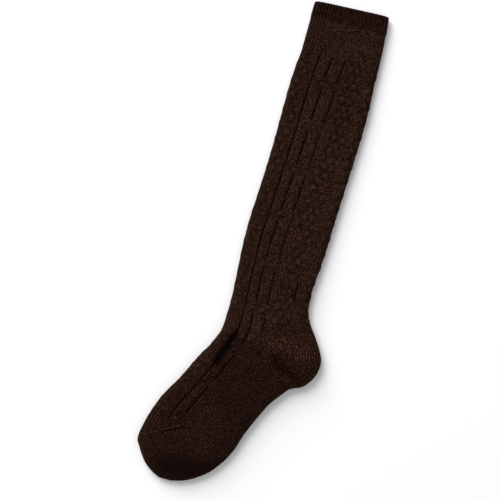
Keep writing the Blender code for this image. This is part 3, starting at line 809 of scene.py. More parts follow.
def knitted_piece(name, grids, material, node=None):
    """A closed piece from grids that meet at their borders, each given as for grid_in_mesh.

    It stands for a solid of the frame if one is named.
    """
    mesh = bmesh.new()
    mesh.loops.layers.uv.new("stitches")
    # shade holds painted light and shade, which lightens or darkens the yarn's colour
    mesh.verts.layers.float.new("shade")
    mesh.verts.layers.float.new("calm")
    for points, *layers in grids:
        grid_in_mesh(mesh, points + np.append(ANKLE, 0.0), *layers)
    bmesh.ops.remove_doubles(mesh, verts=mesh.verts, dist=MERGE_DISTANCE)
    flat = [face for face in mesh.faces if face.calc_area() < SMALLEST_FACE]
    edges = list({edge for face in flat for edge in face.edges})
    bmesh.ops.dissolve_degenerate(mesh, edges=edges, dist=MERGE_DISTANCE)
    open_edges = sum(1 for edge in mesh.edges if not edge.is_manifold)
    if open_edges:
        raise RuntimeError(f"{name} has {open_edges} open edges")
    bmesh.ops.recalc_face_normals(mesh, faces=mesh.faces)
    for face in mesh.faces:
        face.smooth = True
    piece = linked_object(name, mesh)
    piece.data.materials.append(material)
    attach(piece, "root")
    if node:
        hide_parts(node)
    return piece


def linked_object(name, mesh):
    """A new object in the scene, made of a bmesh, which is freed."""
    data = bpy.data.meshes.new(name)
    mesh.to_mesh(data)
    mesh.free()
    made = bpy.data.objects.new(name, data)
    bpy.context.scene.collection.objects.link(made)
    return made


def torus_grid(outer, inner):
    """One grid from an outer and an inner skin with the same columns, closed over both their ends.

    Each skin is a tuple of arrays with one row to a row: points, stitch count and shade.
    """
    return tuple(np.concatenate([out, lining[::-1], out[:1]]) for out, lining in zip(outer, inner))


def stitch_counts(across, along, pitch):
    """The UV map: wales of a pitch across and courses along, from metres."""
    across, along = np.broadcast_arrays(across, along)
    return np.stack([across / pitch, along / COURSE_PITCH], axis=-1)


def ring_sides(ring, rows):
    """Which points of a section's grid lie on the top layer, and which on a fold."""
    shape = (rows, len(ring.share))
    on_fold = (ring.share <= 0.0) | (ring.share >= 1.0)
    return np.broadcast_to(ring.top, shape), np.broadcast_to(on_fold, shape)


def even_shares(ring, rows):
    """The ring's own shares of the width for every row."""
    return np.broadcast_to(ring.share, (rows, len(ring.share)))


def lining_skin(rows_at, first, last, count, ring, shift):
    """The plain inner skin between two stations, with the outer skin's moves at its ends.

    It comes with its stitch count and its shade.
    """
    rows = rows_at(np.linspace(first, last, count))
    where = on_rows(inner_rows(rows), even_shares(ring, count)) + end_shift(count, shift[0], shift[-1])
    top, on_fold = ring_sides(ring, count)
    points, _ = skin_points(where, top, WALL, on_fold)
    along = np.linspace(0.0, 1.0, count)[:, None] * np.linalg.norm(rows.side[-1] - rows.side[0])
    return points, stitch_counts(ring.arc[None, :], along, WALE_PITCH), np.full(where.shape[:2], INNER_SHADE)


def outer_skin(rows, ring, shares, shift):
    """The outer skin of a section before its relief, its plan points and which lie on the top layer."""
    where = on_rows(rows, shares) + shift
    top, on_fold = ring_sides(ring, len(where))
    points, depth = skin_points(where, top, 0.0, on_fold)
    return Skin(points, outward_normals(points, True), depth), where, top


def make_cuff_piece(knit, material):
    """The ribbed cuff, with its thicker turned hem and its rounded, scalloped mouth."""
    ring = section_ring(LEG_WIDTH, knit.top_step, knit.under_step)
    count = round(CUFF_LENGTH / knit.row_step) + 1
    mouth = MOUTH_INSET / CUFF_LENGTH
    down = np.linspace(mouth, 1.0, count)
    shift = end_shift(count, np.zeros(2), np.array((0.0, SKIN_GAP / 2)))
    skin, _, top = outer_skin(cuff_rows(down), ring, even_shares(ring, count), shift)
    loop = ring.arc[-1]
    rib_place = ring.arc[None, :] * round(loop / RIB_PITCH) / loop
    along = down[:, None] * CUFF_LENGTH
    crest = np.abs(np.cos(np.pi * rib_place)) ** RIB_ROUNDNESS
    near_fold = np.exp(-np.minimum(ring.arc, loop - ring.arc) / RIB_FOLD_REACH)[None, :]
    hem = smooth_step(*HEM_END, along)
    strength = RIB_STRENGTH + RIB_STRENGTH_AT_FOLD * near_fold + RIB_STRENGTH_ON_HEM * hem * (1.0 - near_fold)
    end = mix_values(RIB_END_SHARE, 1.0, smooth_step(CUFF_LENGTH, CUFF_LENGTH - RIB_END_LENGTH, along))
    relief = knit.cuff_rib_depth * (crest - RIB_SINK) * strength * end + knit.hem_raise * hem
    between = bell(np.abs(rib_place % 1.0 - 0.5) * RIB_PITCH, RIB_GROOVE_HALF_WIDTH)
    shade = CUFF_RIB_SHADE * (crest - RIB_MIDDLE) * strength
    shade = shade - RIB_GROOVE_SHADE * between * near_fold - HEM_SHADE * hem
    points = lay_relief(skin, top, relief)
    uv = stitch_counts((rib_place + 0.5) * RIB_PITCH, along, RIB_PITCH)
    lining = lining_skin(cuff_rows, mouth, 1.0, LINING_ROWS["cuff"], ring, shift)
    # The mouth rolls over from the outer to the inner skin
    turns = np.linspace(np.pi, 0.0, MOUTH_STEPS)[1:-1]
    roll = np.array([lining[0][0] + (points[0] - lining[0][0]) * (1 + math.cos(turn)) / 2 for turn in turns])
    roll[..., 1] += np.sin(turns)[:, None] * WALL * (MOUTH_LIFT + MOUTH_SCALLOP * crest[0])
    roll_uv = np.repeat(uv[:1], len(roll), axis=0)
    roll_uv[..., 1] -= np.linspace(*MOUTH_COURSES, len(roll))[:, None]
    roll_shade = np.repeat(shade[:1], len(roll), axis=0) - MOUTH_SHADE
    outer = [np.concatenate([a, b]) for a, b in ((roll, points), (roll_uv, uv), (roll_shade, shade))]
    return knitted_piece("knit_cuff", [torus_grid(outer, lining)], material, "cuff")


def heel_line_height(points):
    """How far each plan point lies above the line where the plain heel knit begins, and beyond its start."""
    start = np.array(HEEL_TOP_SIDE)
    run = unit(np.array(HEEL_TOP_BACK) - start)
    away = points - start
    return away @ np.array((-run[1], run[0])), away @ run


def heel_stitches(where, reach, top):
    """Stitch counts round the heel: its wales follow the fold above the gore line and the foot below it.

    reach is how far the fold lies from the ankle in the direction of each plan point.
    """
    gore = unit(heel_edge(GORE_TURN)[0])
    past_gore = where @ np.array((gore[1], -gore[0]))
    below = past_gore > 0.0
    over = np.linalg.norm(where, axis=-1)
    across_foot = where @ np.array((-FOOT_WALE_RUN[1], FOOT_WALE_RUN[0]))
    across = np.where(below, across_foot * WALE_PITCH / LOWER_HEEL_PITCH, over / reach * HEEL_REACH)
    turned = np.arctan2(where[..., 1], where[..., 0]) - math.atan2(gore[1], gore[0])
    run = np.where(below, past_gore, turned * over) + HEEL_COURSE_START
    return stitch_counts(np.where(top, across, 2 * HEEL_REACH - across), run, WALE_PITCH)


def wale_crest(uv):
    """1 on the crest of each wale and 0 in the groove between two."""
    return np.abs(np.sin(np.pi * uv[..., 0])) ** WALE_ROUNDNESS


def wale_relief(knit, uv, plain=1.0):
    """Relief of the wales, at its full depth where plain is 1 and at half of it where plain is 0."""
    return knit.wale_depth * (wale_crest(uv) - WALE_SINK) * (0.5 + 0.5 * plain)


def wale_shade(uv):
    """Painted light and shade of the wales: lighter on the crests and darker in the grooves."""
    return wale_crest(uv) - WALE_MIDDLE


def make_leg_piece(knit, material):
    """The leg, with its cables between furrows and its panels of staggered bumps."""
    ring = section_ring(LEG_WIDTH, knit.top_step, knit.under_step)
    count = round(LEG_LENGTH / knit.row_step) + 1
    down = np.linspace(0.0, 1.0, count)
    borders = panel_borders(LEG_PANELS, down, (1.0 - down) * LEG_LENGTH)
    shares = ring_shares(ring, LEG_PANELS, borders)
    gap = np.array((0.0, SKIN_GAP / 2))
    shift = end_shift(count, -gap, gap)
    skin, where, top = outer_skin(leg_rows(down), ring, shares, shift)
    above, beyond = heel_line_height(where)
    pattern = np.maximum(smooth_step(0.0, HEEL_TOP_EDGE, above), smooth_step(*HEEL_TOP_START, beyond))
    along = LEG_LENGTH - where[..., 1]
    relief, shade = cable_relief(knit, LEG_PANELS, ring, shares, borders, LEG_WIDTH, along, pattern)
    low = (smooth_step(*LOW_FURROW_START, down) * smooth_step(*LOW_FURROW_END, down))[:, None]
    line = bell((shares - borders[:, LOW_FURROW_BORDER, None]) * LEG_WIDTH, LOW_FURROW_HALF_WIDTH)
    relief -= LOW_FURROW_DEPTH * knit.furrow_depth * line * low * pattern
    shade -= LOW_FURROW_SHADE * line * low * pattern
    on_heel = (pattern < 0.5) & (beyond > 0.0)
    uv = stitch_counts(np.broadcast_to(ring.arc, shares.shape), along, WALE_PITCH)
    heel_uv = heel_stitches(where, np.linalg.norm(heel_edge(0.0)[0]), top)
    uv = np.where(on_heel[..., None], heel_uv, uv)
    # Painted light and shade: the broad patches on the top layer and the wales; the heel zone as light as the
    # heel
    shade += painted_patch_shade(where) * top + wale_shade(uv) * LEG_WALE_SHADE + on_heel * HEEL_ZONE_SHADE
    relief += wale_relief(knit, uv, 1.0 - pattern)
    relief[:, -1] = relief[:, 0]
    points = lay_relief(skin, top, relief)
    lining = lining_skin(leg_rows, 0.0, 1.0, LINING_ROWS["leg"], ring, shift)
    grid = torus_grid((points, uv, shade, on_heel * 1.0), (*lining, np.zeros(lining[2].shape)))
    return knitted_piece("knit_leg", [grid], material, "leg")


def make_foot_piece(knit, material):
    """The foot, with the patterned instep and the plain sole."""
    ring = section_ring(FOOT_WIDTH, knit.top_step, knit.under_step)
    toe_along = next(row.front_along for row in FOOT_ROWS if row.station == TOE_STATION)
    front_length = (toe_along - FOOT_ROWS[0].front_along) * FOOT_LENGTH
    count = round(front_length / knit.row_step) + 1
    share = np.linspace(0.0, 1.0, count)
    borders = panel_borders(FOOT_PANELS, share, share * front_length)
    shares = ring_shares(ring, FOOT_PANELS, borders)
    gap = FOOT_LINE * SKIN_GAP / 2
    shift = end_shift(count, gap, -gap)
    skin, where, top = outer_skin(foot_rows(share * TOE_STATION), ring, shares, shift)
    steps = np.linalg.norm(np.diff(where, axis=0, prepend=where[:1]), axis=-1)
    from_leg = np.cumsum(steps, axis=0)
    along = LEG_LENGTH - where[:1, :, 1] + from_leg
    pattern = smooth_step(*FOOT_PATTERN_END, along - LEG_LENGTH)
    relief, shade = cable_relief(knit, FOOT_PANELS, ring, shares, borders, FOOT_WIDTH, along, pattern)
    # The broad patches of painted light and shade, on the top layer
    shade += painted_patch_shade(where) * top
    across = np.broadcast_to(ring.arc * LEG_WIDTH / FOOT_WIDTH, shares.shape)
    uv = stitch_counts(across, along, FOOT_WALE_PITCH)
    sole = smooth_step(SIDE_SHARE - SOLE_EDGE, SIDE_SHARE + SOLE_EDGE, shares)
    relief += wale_relief(knit, uv, sole) * smooth_step(0.0, FOOT_RELIEF_EDGE, from_leg)
    relief[:, -1] = relief[:, 0]
    points = lay_relief(skin, top, relief)
    lining = lining_skin(foot_rows, 0.0, TOE_STATION, LINING_ROWS["foot"], ring, shift)
    grids = [torus_grid((points, uv, shade), lining)]
    return knitted_piece("knit_foot", grids, material, "foot")


def even_ring(width, step):
    """A ring whose under columns lie exactly below its top columns, for a section that closes flat."""
    length = width + 2 * BEND_EXTRA
    top = np.linspace(0.0, length, round(length / step) + 1)
    share = np.clip(layer_shares(top, width), 0.0, 1.0)
    arc = np.concatenate([top, length + top[1:]])
    return Ring(np.concatenate([share, share[-2::-1]]), arc, np.arange(len(arc)) < len(top))


def toe_skin(ring, count, reach, inset, gap):
    """Plan points, points, top and depths of one skin of the toe cap, whose last row closes its tip.

    reach is how far the skin runs on from the foot, as a share of the foot's length.
    """
    rows = foot_rows(TOE_STATION + reach * np.sin(np.linspace(0.0, math.pi / 2, count)))
    if inset:
        rows = inner_rows(rows, foot_rows((1.0 + TOE_STATION) / 2).side[0])
    where = on_rows(rows, even_shares(ring, count)) + end_shift(count, gap, np.zeros(2))
    top, on_fold = ring_sides(ring, count)
    on_fold = on_fold.copy()
    on_fold[-1] = True
    return (where, top, *skin_points(where, top, inset, on_fold))


def make_toe_piece(knit, material):
    """The plain toe cap, closed round its tip."""
    ring = even_ring(FOOT_WIDTH, knit.top_step * TOE_STEP_SCALE)
    reach = 1.0 - TOE_STATION
    gap = FOOT_LINE * SKIN_GAP / 2
    count = round(reach * FOOT_LENGTH * TOE_ROWS_SCALE / knit.row_step)
    where, top, points, depth = toe_skin(ring, count, reach, 0.0, gap)
    along = where @ FOOT_LINE
    across = np.where(top, 1.0, -1.0) * (where @ FOOT_ACROSS)
    uv = stitch_counts(across, along + LEG_LENGTH, FOOT_WALE_PITCH)
    ends = smooth_step(0.0, RELIEF_EDGE, along - along[:1]) * smooth_step(0.0, RELIEF_EDGE, depth)
    skin = Skin(points, outward_normals(points, True), depth)
    raised = lay_relief(skin, top, wale_relief(knit, uv) * ends)
    raised[-1] = points[-1]
    # The broad patches of painted light and shade, on the top layer
    shade = painted_patch_shade(where) * top
    inner_reach = reach - TOE_WALL_SCALE * WALL / FOOT_LENGTH
    where, top, lining, _ = toe_skin(ring, LINING_ROWS["toe"], inner_reach, WALL, gap)
    inner_uv = stitch_counts(where @ FOOT_ACROSS, where @ FOOT_LINE, WALE_PITCH)
    inner_shade = np.full(where.shape[:2], INNER_SHADE)
    grid = [np.concatenate([a[::-1], b]) for a, b in ((lining, raised), (inner_uv, uv), (inner_shade, shade))]
    return knitted_piece("knit_toe_cap", [grid], material, "toe_cap")


def heel_columns(knit):
    """The heel's columns, out from the ankle point to the fold and back underneath.

    They are shares of the way to the fold, which of them lie on the top layer, and which on the fold.
    """
    length = HEEL_REACH + BEND_EXTRA
    top = np.linspace(0.0, length, round(length / knit.top_step) + 1)
    under = np.linspace(length, 0.0, round(length / knit.under_step) + 1)[1:]
    place = 1.0 - depth_in_plan(length - np.concatenate([top, under])) / HEEL_REACH
    column = np.arange(len(place))
    return np.clip(place, 0.0, 1.0), column < len(top), column == len(top) - 1


def make_heel_piece(knit, material):
    """The plain heel pocket, whose wales turn from the leg's line to the foot's at the gore line."""
    first, last = (math.atan2(p[1], p[0]) for p in (leg_rows(1.0).back[0], foot_rows(0.0).back[0]))
    middle, half = (first + last) / 2, abs(first - last) / 2
    fold_length = np.linalg.norm(np.diff(heel_edge(OUTLINE_STEPS), axis=0), axis=1).sum()
    margin = SKIN_GAP / 2 / fold_length
    count = round(fold_length / knit.row_step) + 1
    turn = np.linspace(margin, 1.0 - margin, count)
    columns = heel_columns(knit)
    bearing = middle - (turn - 0.5) * 2 * half
    near_point = plan(math.cos(middle), math.sin(middle)) * SKIN_GAP / 2 / math.sin(half)
    begin = near_point + plan(np.cos(bearing), np.sin(bearing)) * SKIN_GAP
    ends = heel_edge(turn)
    place, top, on_fold = (np.broadcast_to(column, (count, len(column))) for column in columns)
    where = mix(begin[:, None], ends[:, None], place)
    points, depth = skin_points(where, top, 0.0, on_fold)
    skin = Skin(points, outward_normals(points, False), depth)
    uv = heel_stitches(where, np.linalg.norm(ends, axis=-1)[:, None], top)
    edge = np.minimum(turn, 1.0 - turn)[:, None] * fold_length
    fade = smooth_step(0.0, RELIEF_EDGE, edge) * smooth_step(*HEEL_POINT_FADE, np.linalg.norm(where, axis=-1))
    depths = np.where(turn[:, None] > GORE_TURN, LOWER_WALE_DEPTH, UPPER_WALE_DEPTH)
    points = lay_relief(skin, top, wale_relief(knit, uv) * fade * depths)
    below = smooth_step(GORE_TURN - GORE_EDGE, GORE_TURN + GORE_EDGE, turn)[:, None]
    crest = wale_shade(uv)
    # The broad patches of painted light and shade, of which the wales' crests keep off some in the valley,
    # and the wales' own painted light and shade
    shade = painted_patch_shade(where) * top * (1.0 - VALLEY_WALE_SHARE * crest * below)
    shade = shade + crest * (UPPER_WALE_SHADE + (LOWER_WALE_SHADE - UPPER_WALE_SHADE) * below)
    inner_where = mix(begin[:, None], (ends + unit(begin - ends) * WALL)[:, None], place)
    lining, _ = skin_points(inner_where, top, WALL, on_fold)
    outer, inner = (points, uv, shade), (lining, uv, np.full(shade.shape, INNER_SHADE))
    grids = [torus_grid(outer, inner)]
    for side in (0, -1):
        grids.append([np.stack([a[:, side], b[:, side]], axis=1) for a, b in zip(outer, inner)])
    return knitted_piece("knit_heel", grids, material, "heel")


def make_toe_seam(knit, material):
    """The linked seam over the toes, a low twisted ridge where the toe cap joins the foot."""
    ring = section_ring(FOOT_WIDTH, SEAM_STEP, SEAM_STEP)
    rows = foot_rows(TOE_STATION + np.array((-SEAM_STATION_STEP, 0.0, SEAM_STATION_STEP)))
    rows = Rows(rows.front - FOOT_LINE * SEAM_FRONT_SHIFT, rows.side - FOOT_LINE * SEAM_SIDE_SHIFT, rows.back)
    top, on_fold = ring_sides(ring, 3)
    points, _ = skin_points(on_rows(rows, even_shares(ring, 3)), top, 0.0, on_fold)
    normals = outward_normals(points, True)[1]
    # Only over the toes' own side: from the side underneath, round the front fold, to the side on top
    half = len(ring.share) // 2
    keep = np.roll(ring.share[:-1], half) <= SIDE_SHARE + SEAM_OVERRUN
    line, normals = (np.roll(values[:-1], half, axis=0)[keep] for values in (points[1], normals))
    beside = unit(np.cross(unit(np.gradient(line, axis=0)), normals))
    knots = np.arange(len(line))
    twist = np.cos(knots * math.pi / 2)
    end = np.clip(np.minimum(knots, knots[::-1]) / SEAM_END_KNOTS, 0.0, 1.0)
    thick = (SEAM_RADIUS * (1.0 + SEAM_SWELL * twist) * np.sqrt(end))[:, None]
    turns = np.linspace(0.0, math.tau, SEAM_SIDES + 1)
    spots = []
    for turn in turns:
        out = normals * math.cos(turn) * SEAM_FLATNESS + beside * math.sin(turn)
        spots.append(line - normals * SEAM_RADIUS * SEAM_SINK + out * thick)
    grid = np.stack(spots, axis=1)
    grid[:, -1] = grid[:, 0]
    grid[..., 2] = np.maximum(grid[..., 2], 0.0)
    uv = stitch_counts((turns[None, :] / math.tau + 0.5) * WALE_PITCH, knots[:, None] * SEAM_STEP, WALE_PITCH)
    shade = SEAM_SHADE + (1.0 - SEAM_SHADE) * twist[:, None] * np.ones(len(turns))
    return knitted_piece("toe_seam", [(grid, uv, shade)], material)


def new_group(name, inputs, outputs):
    """A shader node group with the named sockets, each given as name, kind and default."""
    group = bpy.data.node_groups.new(name, "ShaderNodeTree")
    for socket, kind, value in inputs:
        made = group.interface.new_socket(name=socket, in_out="INPUT", socket_type=kind)
        made.default_value = value
    for socket, kind in outputs:
        group.interface.new_socket(name=socket, in_out="OUTPUT", socket_type=kind)
    return Wiring(group), group.nodes.new("NodeGroupInput").outputs, group.nodes.new("NodeGroupOutput").inputs


class Wiring:
    """Adds nodes to a node tree, each input given as a value or as another node's output."""

    def __init__(self, tree):
        self.tree = tree

    def set(self, socket, value):
        if isinstance(value, bpy.types.NodeSocket):
            self.tree.links.new(value, socket)
        else:
            socket.default_value = value

    def node(self, kind, inputs=(), **settings):
        made = self.tree.nodes.new(kind)
        for name, value in settings.items():
            setattr(made, name, value)
        for name, value in dict(inputs).items():
            self.set(made.inputs[name], value)
        return made

    def math(self, operation, a, b=0.0, c=0.0):
        return self.node("ShaderNodeMath", {0: a, 1: b, 2: c}, operation=operation).outputs[0]

    def times(self, a, b):
        return self.math("MULTIPLY", a, b)

    def scaled(self, value, factor, offset):
        return self.math("MULTIPLY_ADD", value, factor, offset)

    def vectors(self, operation, a, b=(0.0, 0.0, 0.0)):
        return self.node("ShaderNodeVectorMath", {0: a, 1: b}, operation=operation).outputs[0]

    def attribute(self, name):
        return self.node("ShaderNodeAttribute", attribute_name=name).outputs["Fac"]

    def noise(self, scale, detail):
        place = self.node("ShaderNodeTexCoord").outputs["Object"]
        return self.node("ShaderNodeTexNoise", {"Vector": place, "Scale": scale, "Detail": detail}).outputs[0]

    def ripple(self, value):
        """0 in the middle of each whole unit and 1 at its borders."""
        return self.math("ABSOLUTE", self.scaled(self.math("FRACT", value), 2.0, -1.0))

    def mix_colour(self, share, a, b, blend="MIX"):
        made = self.node("ShaderNodeMix", data_type="RGBA", blend_type=blend)
        for number, value in ((0, share), (6, a), (7, b)):
            self.set(made.inputs[number], value)
        return made.outputs[2]

    def level(self, value, low, high):
        """0 up to the low value and 1 from the high one, with a soft step between."""
        inputs = {"Value": value, "From Min": low, "From Max": high}
        return self.node("ShaderNodeMapRange", inputs, interpolation_type="SMOOTHSTEP").outputs[0]


def stitch_group():
    """Height and crevices of knit stitches: two slanted legs to each wale and course of the UV map."""
    outputs = (("Height", "NodeSocketFloat"), ("Crevice", "NodeSocketFloat"), ("Groove", "NodeSocketFloat"))
    wire, _, out = new_group("knit stitches", (), outputs)
    uv = wire.node("ShaderNodeUVMap", uv_map="stitches").outputs[0]
    across, along, _ = wire.node("ShaderNodeSeparateXYZ", {"Vector": uv}).outputs
    shake = wire.scaled(wire.noise(STITCH_SHAKE_SCALE, 1.0), STITCH_SHAKE, -STITCH_SHAKE / 2)
    leg = wire.ripple(wire.scaled(shake, STITCH_SHAKE_ACROSS, across))
    leg_round = wire.math("MAXIMUM", wire.math("SINE", wire.times(leg, math.pi)), 0.0)
    wave = wire.ripple(wire.scaled(leg, STITCH_SLANT, wire.math("ADD", along, shake)))
    loop = wire.math("SUBTRACT", 1.0, wire.math("POWER", wave, LOOP_SQUARENESS))
    height = wire.times(wire.math("POWER", leg_round, LEG_FULLNESS), loop)
    wire.set(out["Height"], height)
    wire.set(out["Crevice"], wire.level(height, *CREVICE_LEVELS))
    wire.set(out["Groove"], wire.level(wire.ripple(across), *GROOVE_LEVELS))


def yarn_group():
    """Colour of heathered yarn: dark fibres with paler and redder flecks, with painted shade down in the
    knit.
    """
    inputs = [(name, "NodeSocketColor", (0.0, 0.0, 0.0, 1.0)) for name in ("Deep", "Base", "Fleck")]
    values = (("Fleck Share", 0.3), ("Grain", 1.0), ("Crevice", 0.0), ("Shade", 0.0))
    inputs += [(name, "NodeSocketFloat", value) for name, value in values]
    outputs = (("Color", "NodeSocketColor"), ("Fuzz", "NodeSocketFloat"))
    wire, given, out = new_group("heathered yarn", inputs, outputs)
    fine = wire.noise(FIBRE_SCALE, 0.0)
    broad = wire.noise(BATCH_SCALE, 2.0)
    uv = wire.node("ShaderNodeUVMap", uv_map="stitches").outputs[0]
    tuft = wire.vectors("FLOOR", wire.vectors("MULTIPLY", uv, TUFTS_TO_A_STITCH))
    pick = wire.node("ShaderNodeTexWhiteNoise", {"Vector": tuft}, noise_dimensions="3D")
    grain = wire.math("SUBTRACT", pick.outputs["Value"], 0.5)
    grain = wire.math("ADD", grain, wire.scaled(fine, FIBRE_SHARE, -FIBRE_SHARE / 2))
    grain = wire.math("ADD", grain, wire.scaled(broad, BATCH_SHARE, -BATCH_SHARE / 2))
    mottle = wire.scaled(grain, given["Grain"], MOTTLE_MIDDLE)
    fleck = wire.times(wire.level(mottle, *FLECK_LEVELS), given["Fleck Share"])
    colour = wire.mix_colour(wire.level(mottle, *BASE_LEVELS), given["Deep"], given["Base"])
    colour = wire.mix_colour(fleck, colour, given["Fleck"])
    hue = wire.node("ShaderNodeSeparateXYZ", {"Vector": pick.outputs["Color"]}).outputs[1]
    colour = wire.mix_colour(1.0, colour, wire.mix_colour(hue, REDDER, BLUER), "MULTIPLY")
    # Painted shade: the crevices take on the deep colour
    colour = wire.mix_colour(given["Crevice"], colour, given["Deep"])
    # The Shade input paints light and shade: above 0 it lightens the yarn, below 0 it darkens it
    lit = wire.scaled(wire.math("MAXIMUM", given["Shade"], 0.0), LIT_SHARE, 1.0)
    glow = wire.math("ADD", lit, wire.math("MINIMUM", given["Shade"], 0.0))
    glow = wire.math("MAXIMUM", glow, DARKEST_GLOW)
    # What lies in shadow takes on a deeper red, from the light that reaches it through the yarn
    dim = wire.math("MINIMUM", glow, 1.0)
    red_glow = wire.node("ShaderNodeCombineXYZ", {"X": glow})
    for axis, loss in (("Y", SHADOW_GREEN_LOSS), ("Z", SHADOW_BLUE_LOSS)):
        wire.set(red_glow.inputs[axis], wire.times(glow, wire.math("POWER", dim, loss)))
    wire.set(out["Color"], wire.vectors("MULTIPLY", colour, red_glow.outputs[0]))
    wire.set(out["Fuzz"], fine)


def knit_material(section, knit):
    """Matt knitted yarn with the colour and the painted shade of one section."""
    tone_and_shade = TONES_AND_SHADES[section]
    material = bpy.data.materials.new(f"{section} knit")
    material.use_nodes = True
    wire = Wiring(material.node_tree)
    shader = material.node_tree.nodes["Principled BSDF"]
    stitches = wire.node("ShaderNodeGroup", node_tree=bpy.data.node_groups["knit stitches"])
    yarn = wire.node("ShaderNodeGroup", node_tree=bpy.data.node_groups["heathered yarn"])
    for socket, colour in (("Deep", knit.deep), ("Base", knit.base), ("Fleck", knit.fleck)):
        yarn.inputs[socket].default_value = (*[c * g for c, g in zip(colour, tone_and_shade.gain)], 1.0)
    yarn.inputs["Fleck Share"].default_value = knit.fleck_share
    calm = wire.attribute("calm")
    # Painted shade: darker in the crevices between stitches and in the grooves between wales, with the full
    # groove shade on the calm heel knit
    between = wire.times(stitches.outputs["Crevice"], tone_and_shade.crevice)
    line = wire.times(stitches.outputs["Groove"], wire.scaled(calm, 1.0 - tone_and_shade.groove, tone_and_shade.groove))
    wire.set(yarn.inputs["Crevice"], wire.math("MAXIMUM", between, line))
    wire.set(yarn.inputs["Grain"], wire.scaled(calm, -CALM_GRAIN_LOSS * tone_and_shade.grain, tone_and_shade.grain))
    wire.set(yarn.inputs["Shade"], wire.attribute("shade"))
    wire.set(shader.inputs["Base Color"], yarn.outputs["Color"])
    bump = wire.node("ShaderNodeBump", {"Strength": 1.0, "Distance": knit.stitch_depth})
    wire.set(bump.inputs["Height"], wire.scaled(yarn.outputs["Fuzz"], FUZZ_SHARE, stitches.outputs["Height"]))
    wire.set(shader.inputs["Normal"], bump.outputs[0])
    shader.inputs["Roughness"].default_value = 0.92
    shader.inputs["Specular IOR Level"].default_value = 0.03
    shader.inputs["Sheen Weight"].default_value = 0.04
    shader.inputs["Sheen Roughness"].default_value = 0.5
    shader.inputs["Sheen Tint"].default_value = (0.8, 0.42, 0.28, 1.0)
    return material


def make_floor():
    """The plain pale floor, a hair below the sock."""
    mesh = bmesh.new()
    bmesh.ops.create_grid(mesh, x_segments=1, y_segments=1, size=FLOOR_HALF_SIZE)
    bmesh.ops.translate(mesh, verts=mesh.verts, vec=(0.0, 0.0, -FLOOR_DROP))
    floor = linked_object("floor", mesh)
    material = bpy.data.materials.new("floor")
    material.use_nodes = True
    shader = material.node_tree.nodes["Principled BSDF"]
    shader.inputs["Base Color"].default_value = (*FLOOR_COLOUR, 1.0)
    shader.inputs["Roughness"].default_value = 0.9
    shader.inputs["Specular IOR Level"].default_value = 0.1
    floor.data.materials.append(material)
    return floor


def make_walls():
    """The pale walls all round, which look white to the camera and light the sock less than that."""
    world = bpy.data.worlds.new("studio")
    world.use_nodes = True
    wire = Wiring(world.node_tree)
    background = world.node_tree.nodes["Background"]
    background.inputs["Color"].default_value = (1.0, 1.0, 1.0, 1.0)
    seen = wire.node("ShaderNodeLightPath").outputs["Is Camera Ray"]
    wire.set(background.inputs["Strength"], wire.scaled(seen, 1.0 - WORLD_STRENGTH, WORLD_STRENGTH))
    bpy.context.scene.world = world


def make_window(centre):
    """The large soft light."""
    data = bpy.data.lights.new("window", "AREA")
    data.shape = "SQUARE"
    data.size = LIGHT_SIZE
    data.energy = LIGHT_POWER
    light = bpy.data.objects.new("window", data)
    light.location = centre + Vector(LIGHT_PLACE)
    light.rotation_euler = (centre - light.location).to_track_quat("-Z", "Y").to_euler()
    bpy.context.scene.collection.objects.link(light)
    return light


def make_camera(centre):
    """The camera, straight above."""
    data = bpy.data.cameras.new("camera")
    data.lens = LENS
    data.sensor_width = SENSOR
    camera = bpy.data.objects.new("camera", data)
    camera.location = centre + Vector((0.0, 0.0, VIEW_WIDTH * LENS / SENSOR))
    camera.rotation_euler = (0.0, 0.0, VIEW_ROLL)
    bpy.context.scene.collection.objects.link(camera)
    bpy.context.scene.camera = camera
    return camera


def length_property(name, default, description):
    """A property for a length in metres."""
    return FloatProperty(name=name, description=description, default=default, unit="LENGTH")


def colour_property(name, default, description):
    """A property for a colour."""
    return FloatVectorProperty(name=name, description=description, default=default, subtype="COLOR")


class KneeSockKnit(bpy.types.PropertyGroup):
    """The sizes and colours of the knit."""

    top_step: length_property("Top Step", 0.00068, "Distance between points of the top layer")
    under_step: length_property("Under Step", 0.00125, "Distance between points of the under layer")
    row_step: length_property("Row Step", 0.0008, "Distance between points along the sock")
    bump_height: length_property("Bump Height", 0.0011, "Height of the staggered bumps")
    rib_height: length_property("Cable Height", 0.0008, "Height of the cables' round ribs")
    furrow_depth: length_property("Furrow Depth", 0.0015, "Depth of the furrows beside the cables")
    wale_depth: length_property("Wale Depth", 0.0003, "Depth between the columns of plain stitches")
    cuff_rib_depth: length_property("Cuff Rib Depth", 0.0008, "Depth between the ribs of the cuff")
    hem_raise: length_property("Hem Height", 0.0005, "Height of the turned hem above the cuff")
    stitch_depth: length_property("Stitch Depth", 0.0006, "Depth of the drawn stitches")
    # The deep colour is both the yarn's darkest fibres and the painted shade down between the stitches
    deep: colour_property("Deep Colour", (0.0036, 0.0015, 0.0010), "Colour down between the stitches")
    base: colour_property("Yarn Colour", (0.0205, 0.0088, 0.0055), "Main colour of the yarn")
    fleck: colour_property("Fleck Colour", (0.080, 0.034, 0.021), "Colour of the paler fibres")
    fleck_share: FloatProperty(
        name="Fleck Share", description="Share of paler fibres in the yarn", default=0.8, subtype="FACTOR"
    )


class KNEESOCK_OT_materials(bpy.types.Operator):
    """Makes the node groups that the knit materials share"""

    bl_idname = "knee_sock.materials"
    bl_label = "Make Node Groups"

    def execute(self, context):
        stitch_group()
        yarn_group()
        return {"FINISHED"}


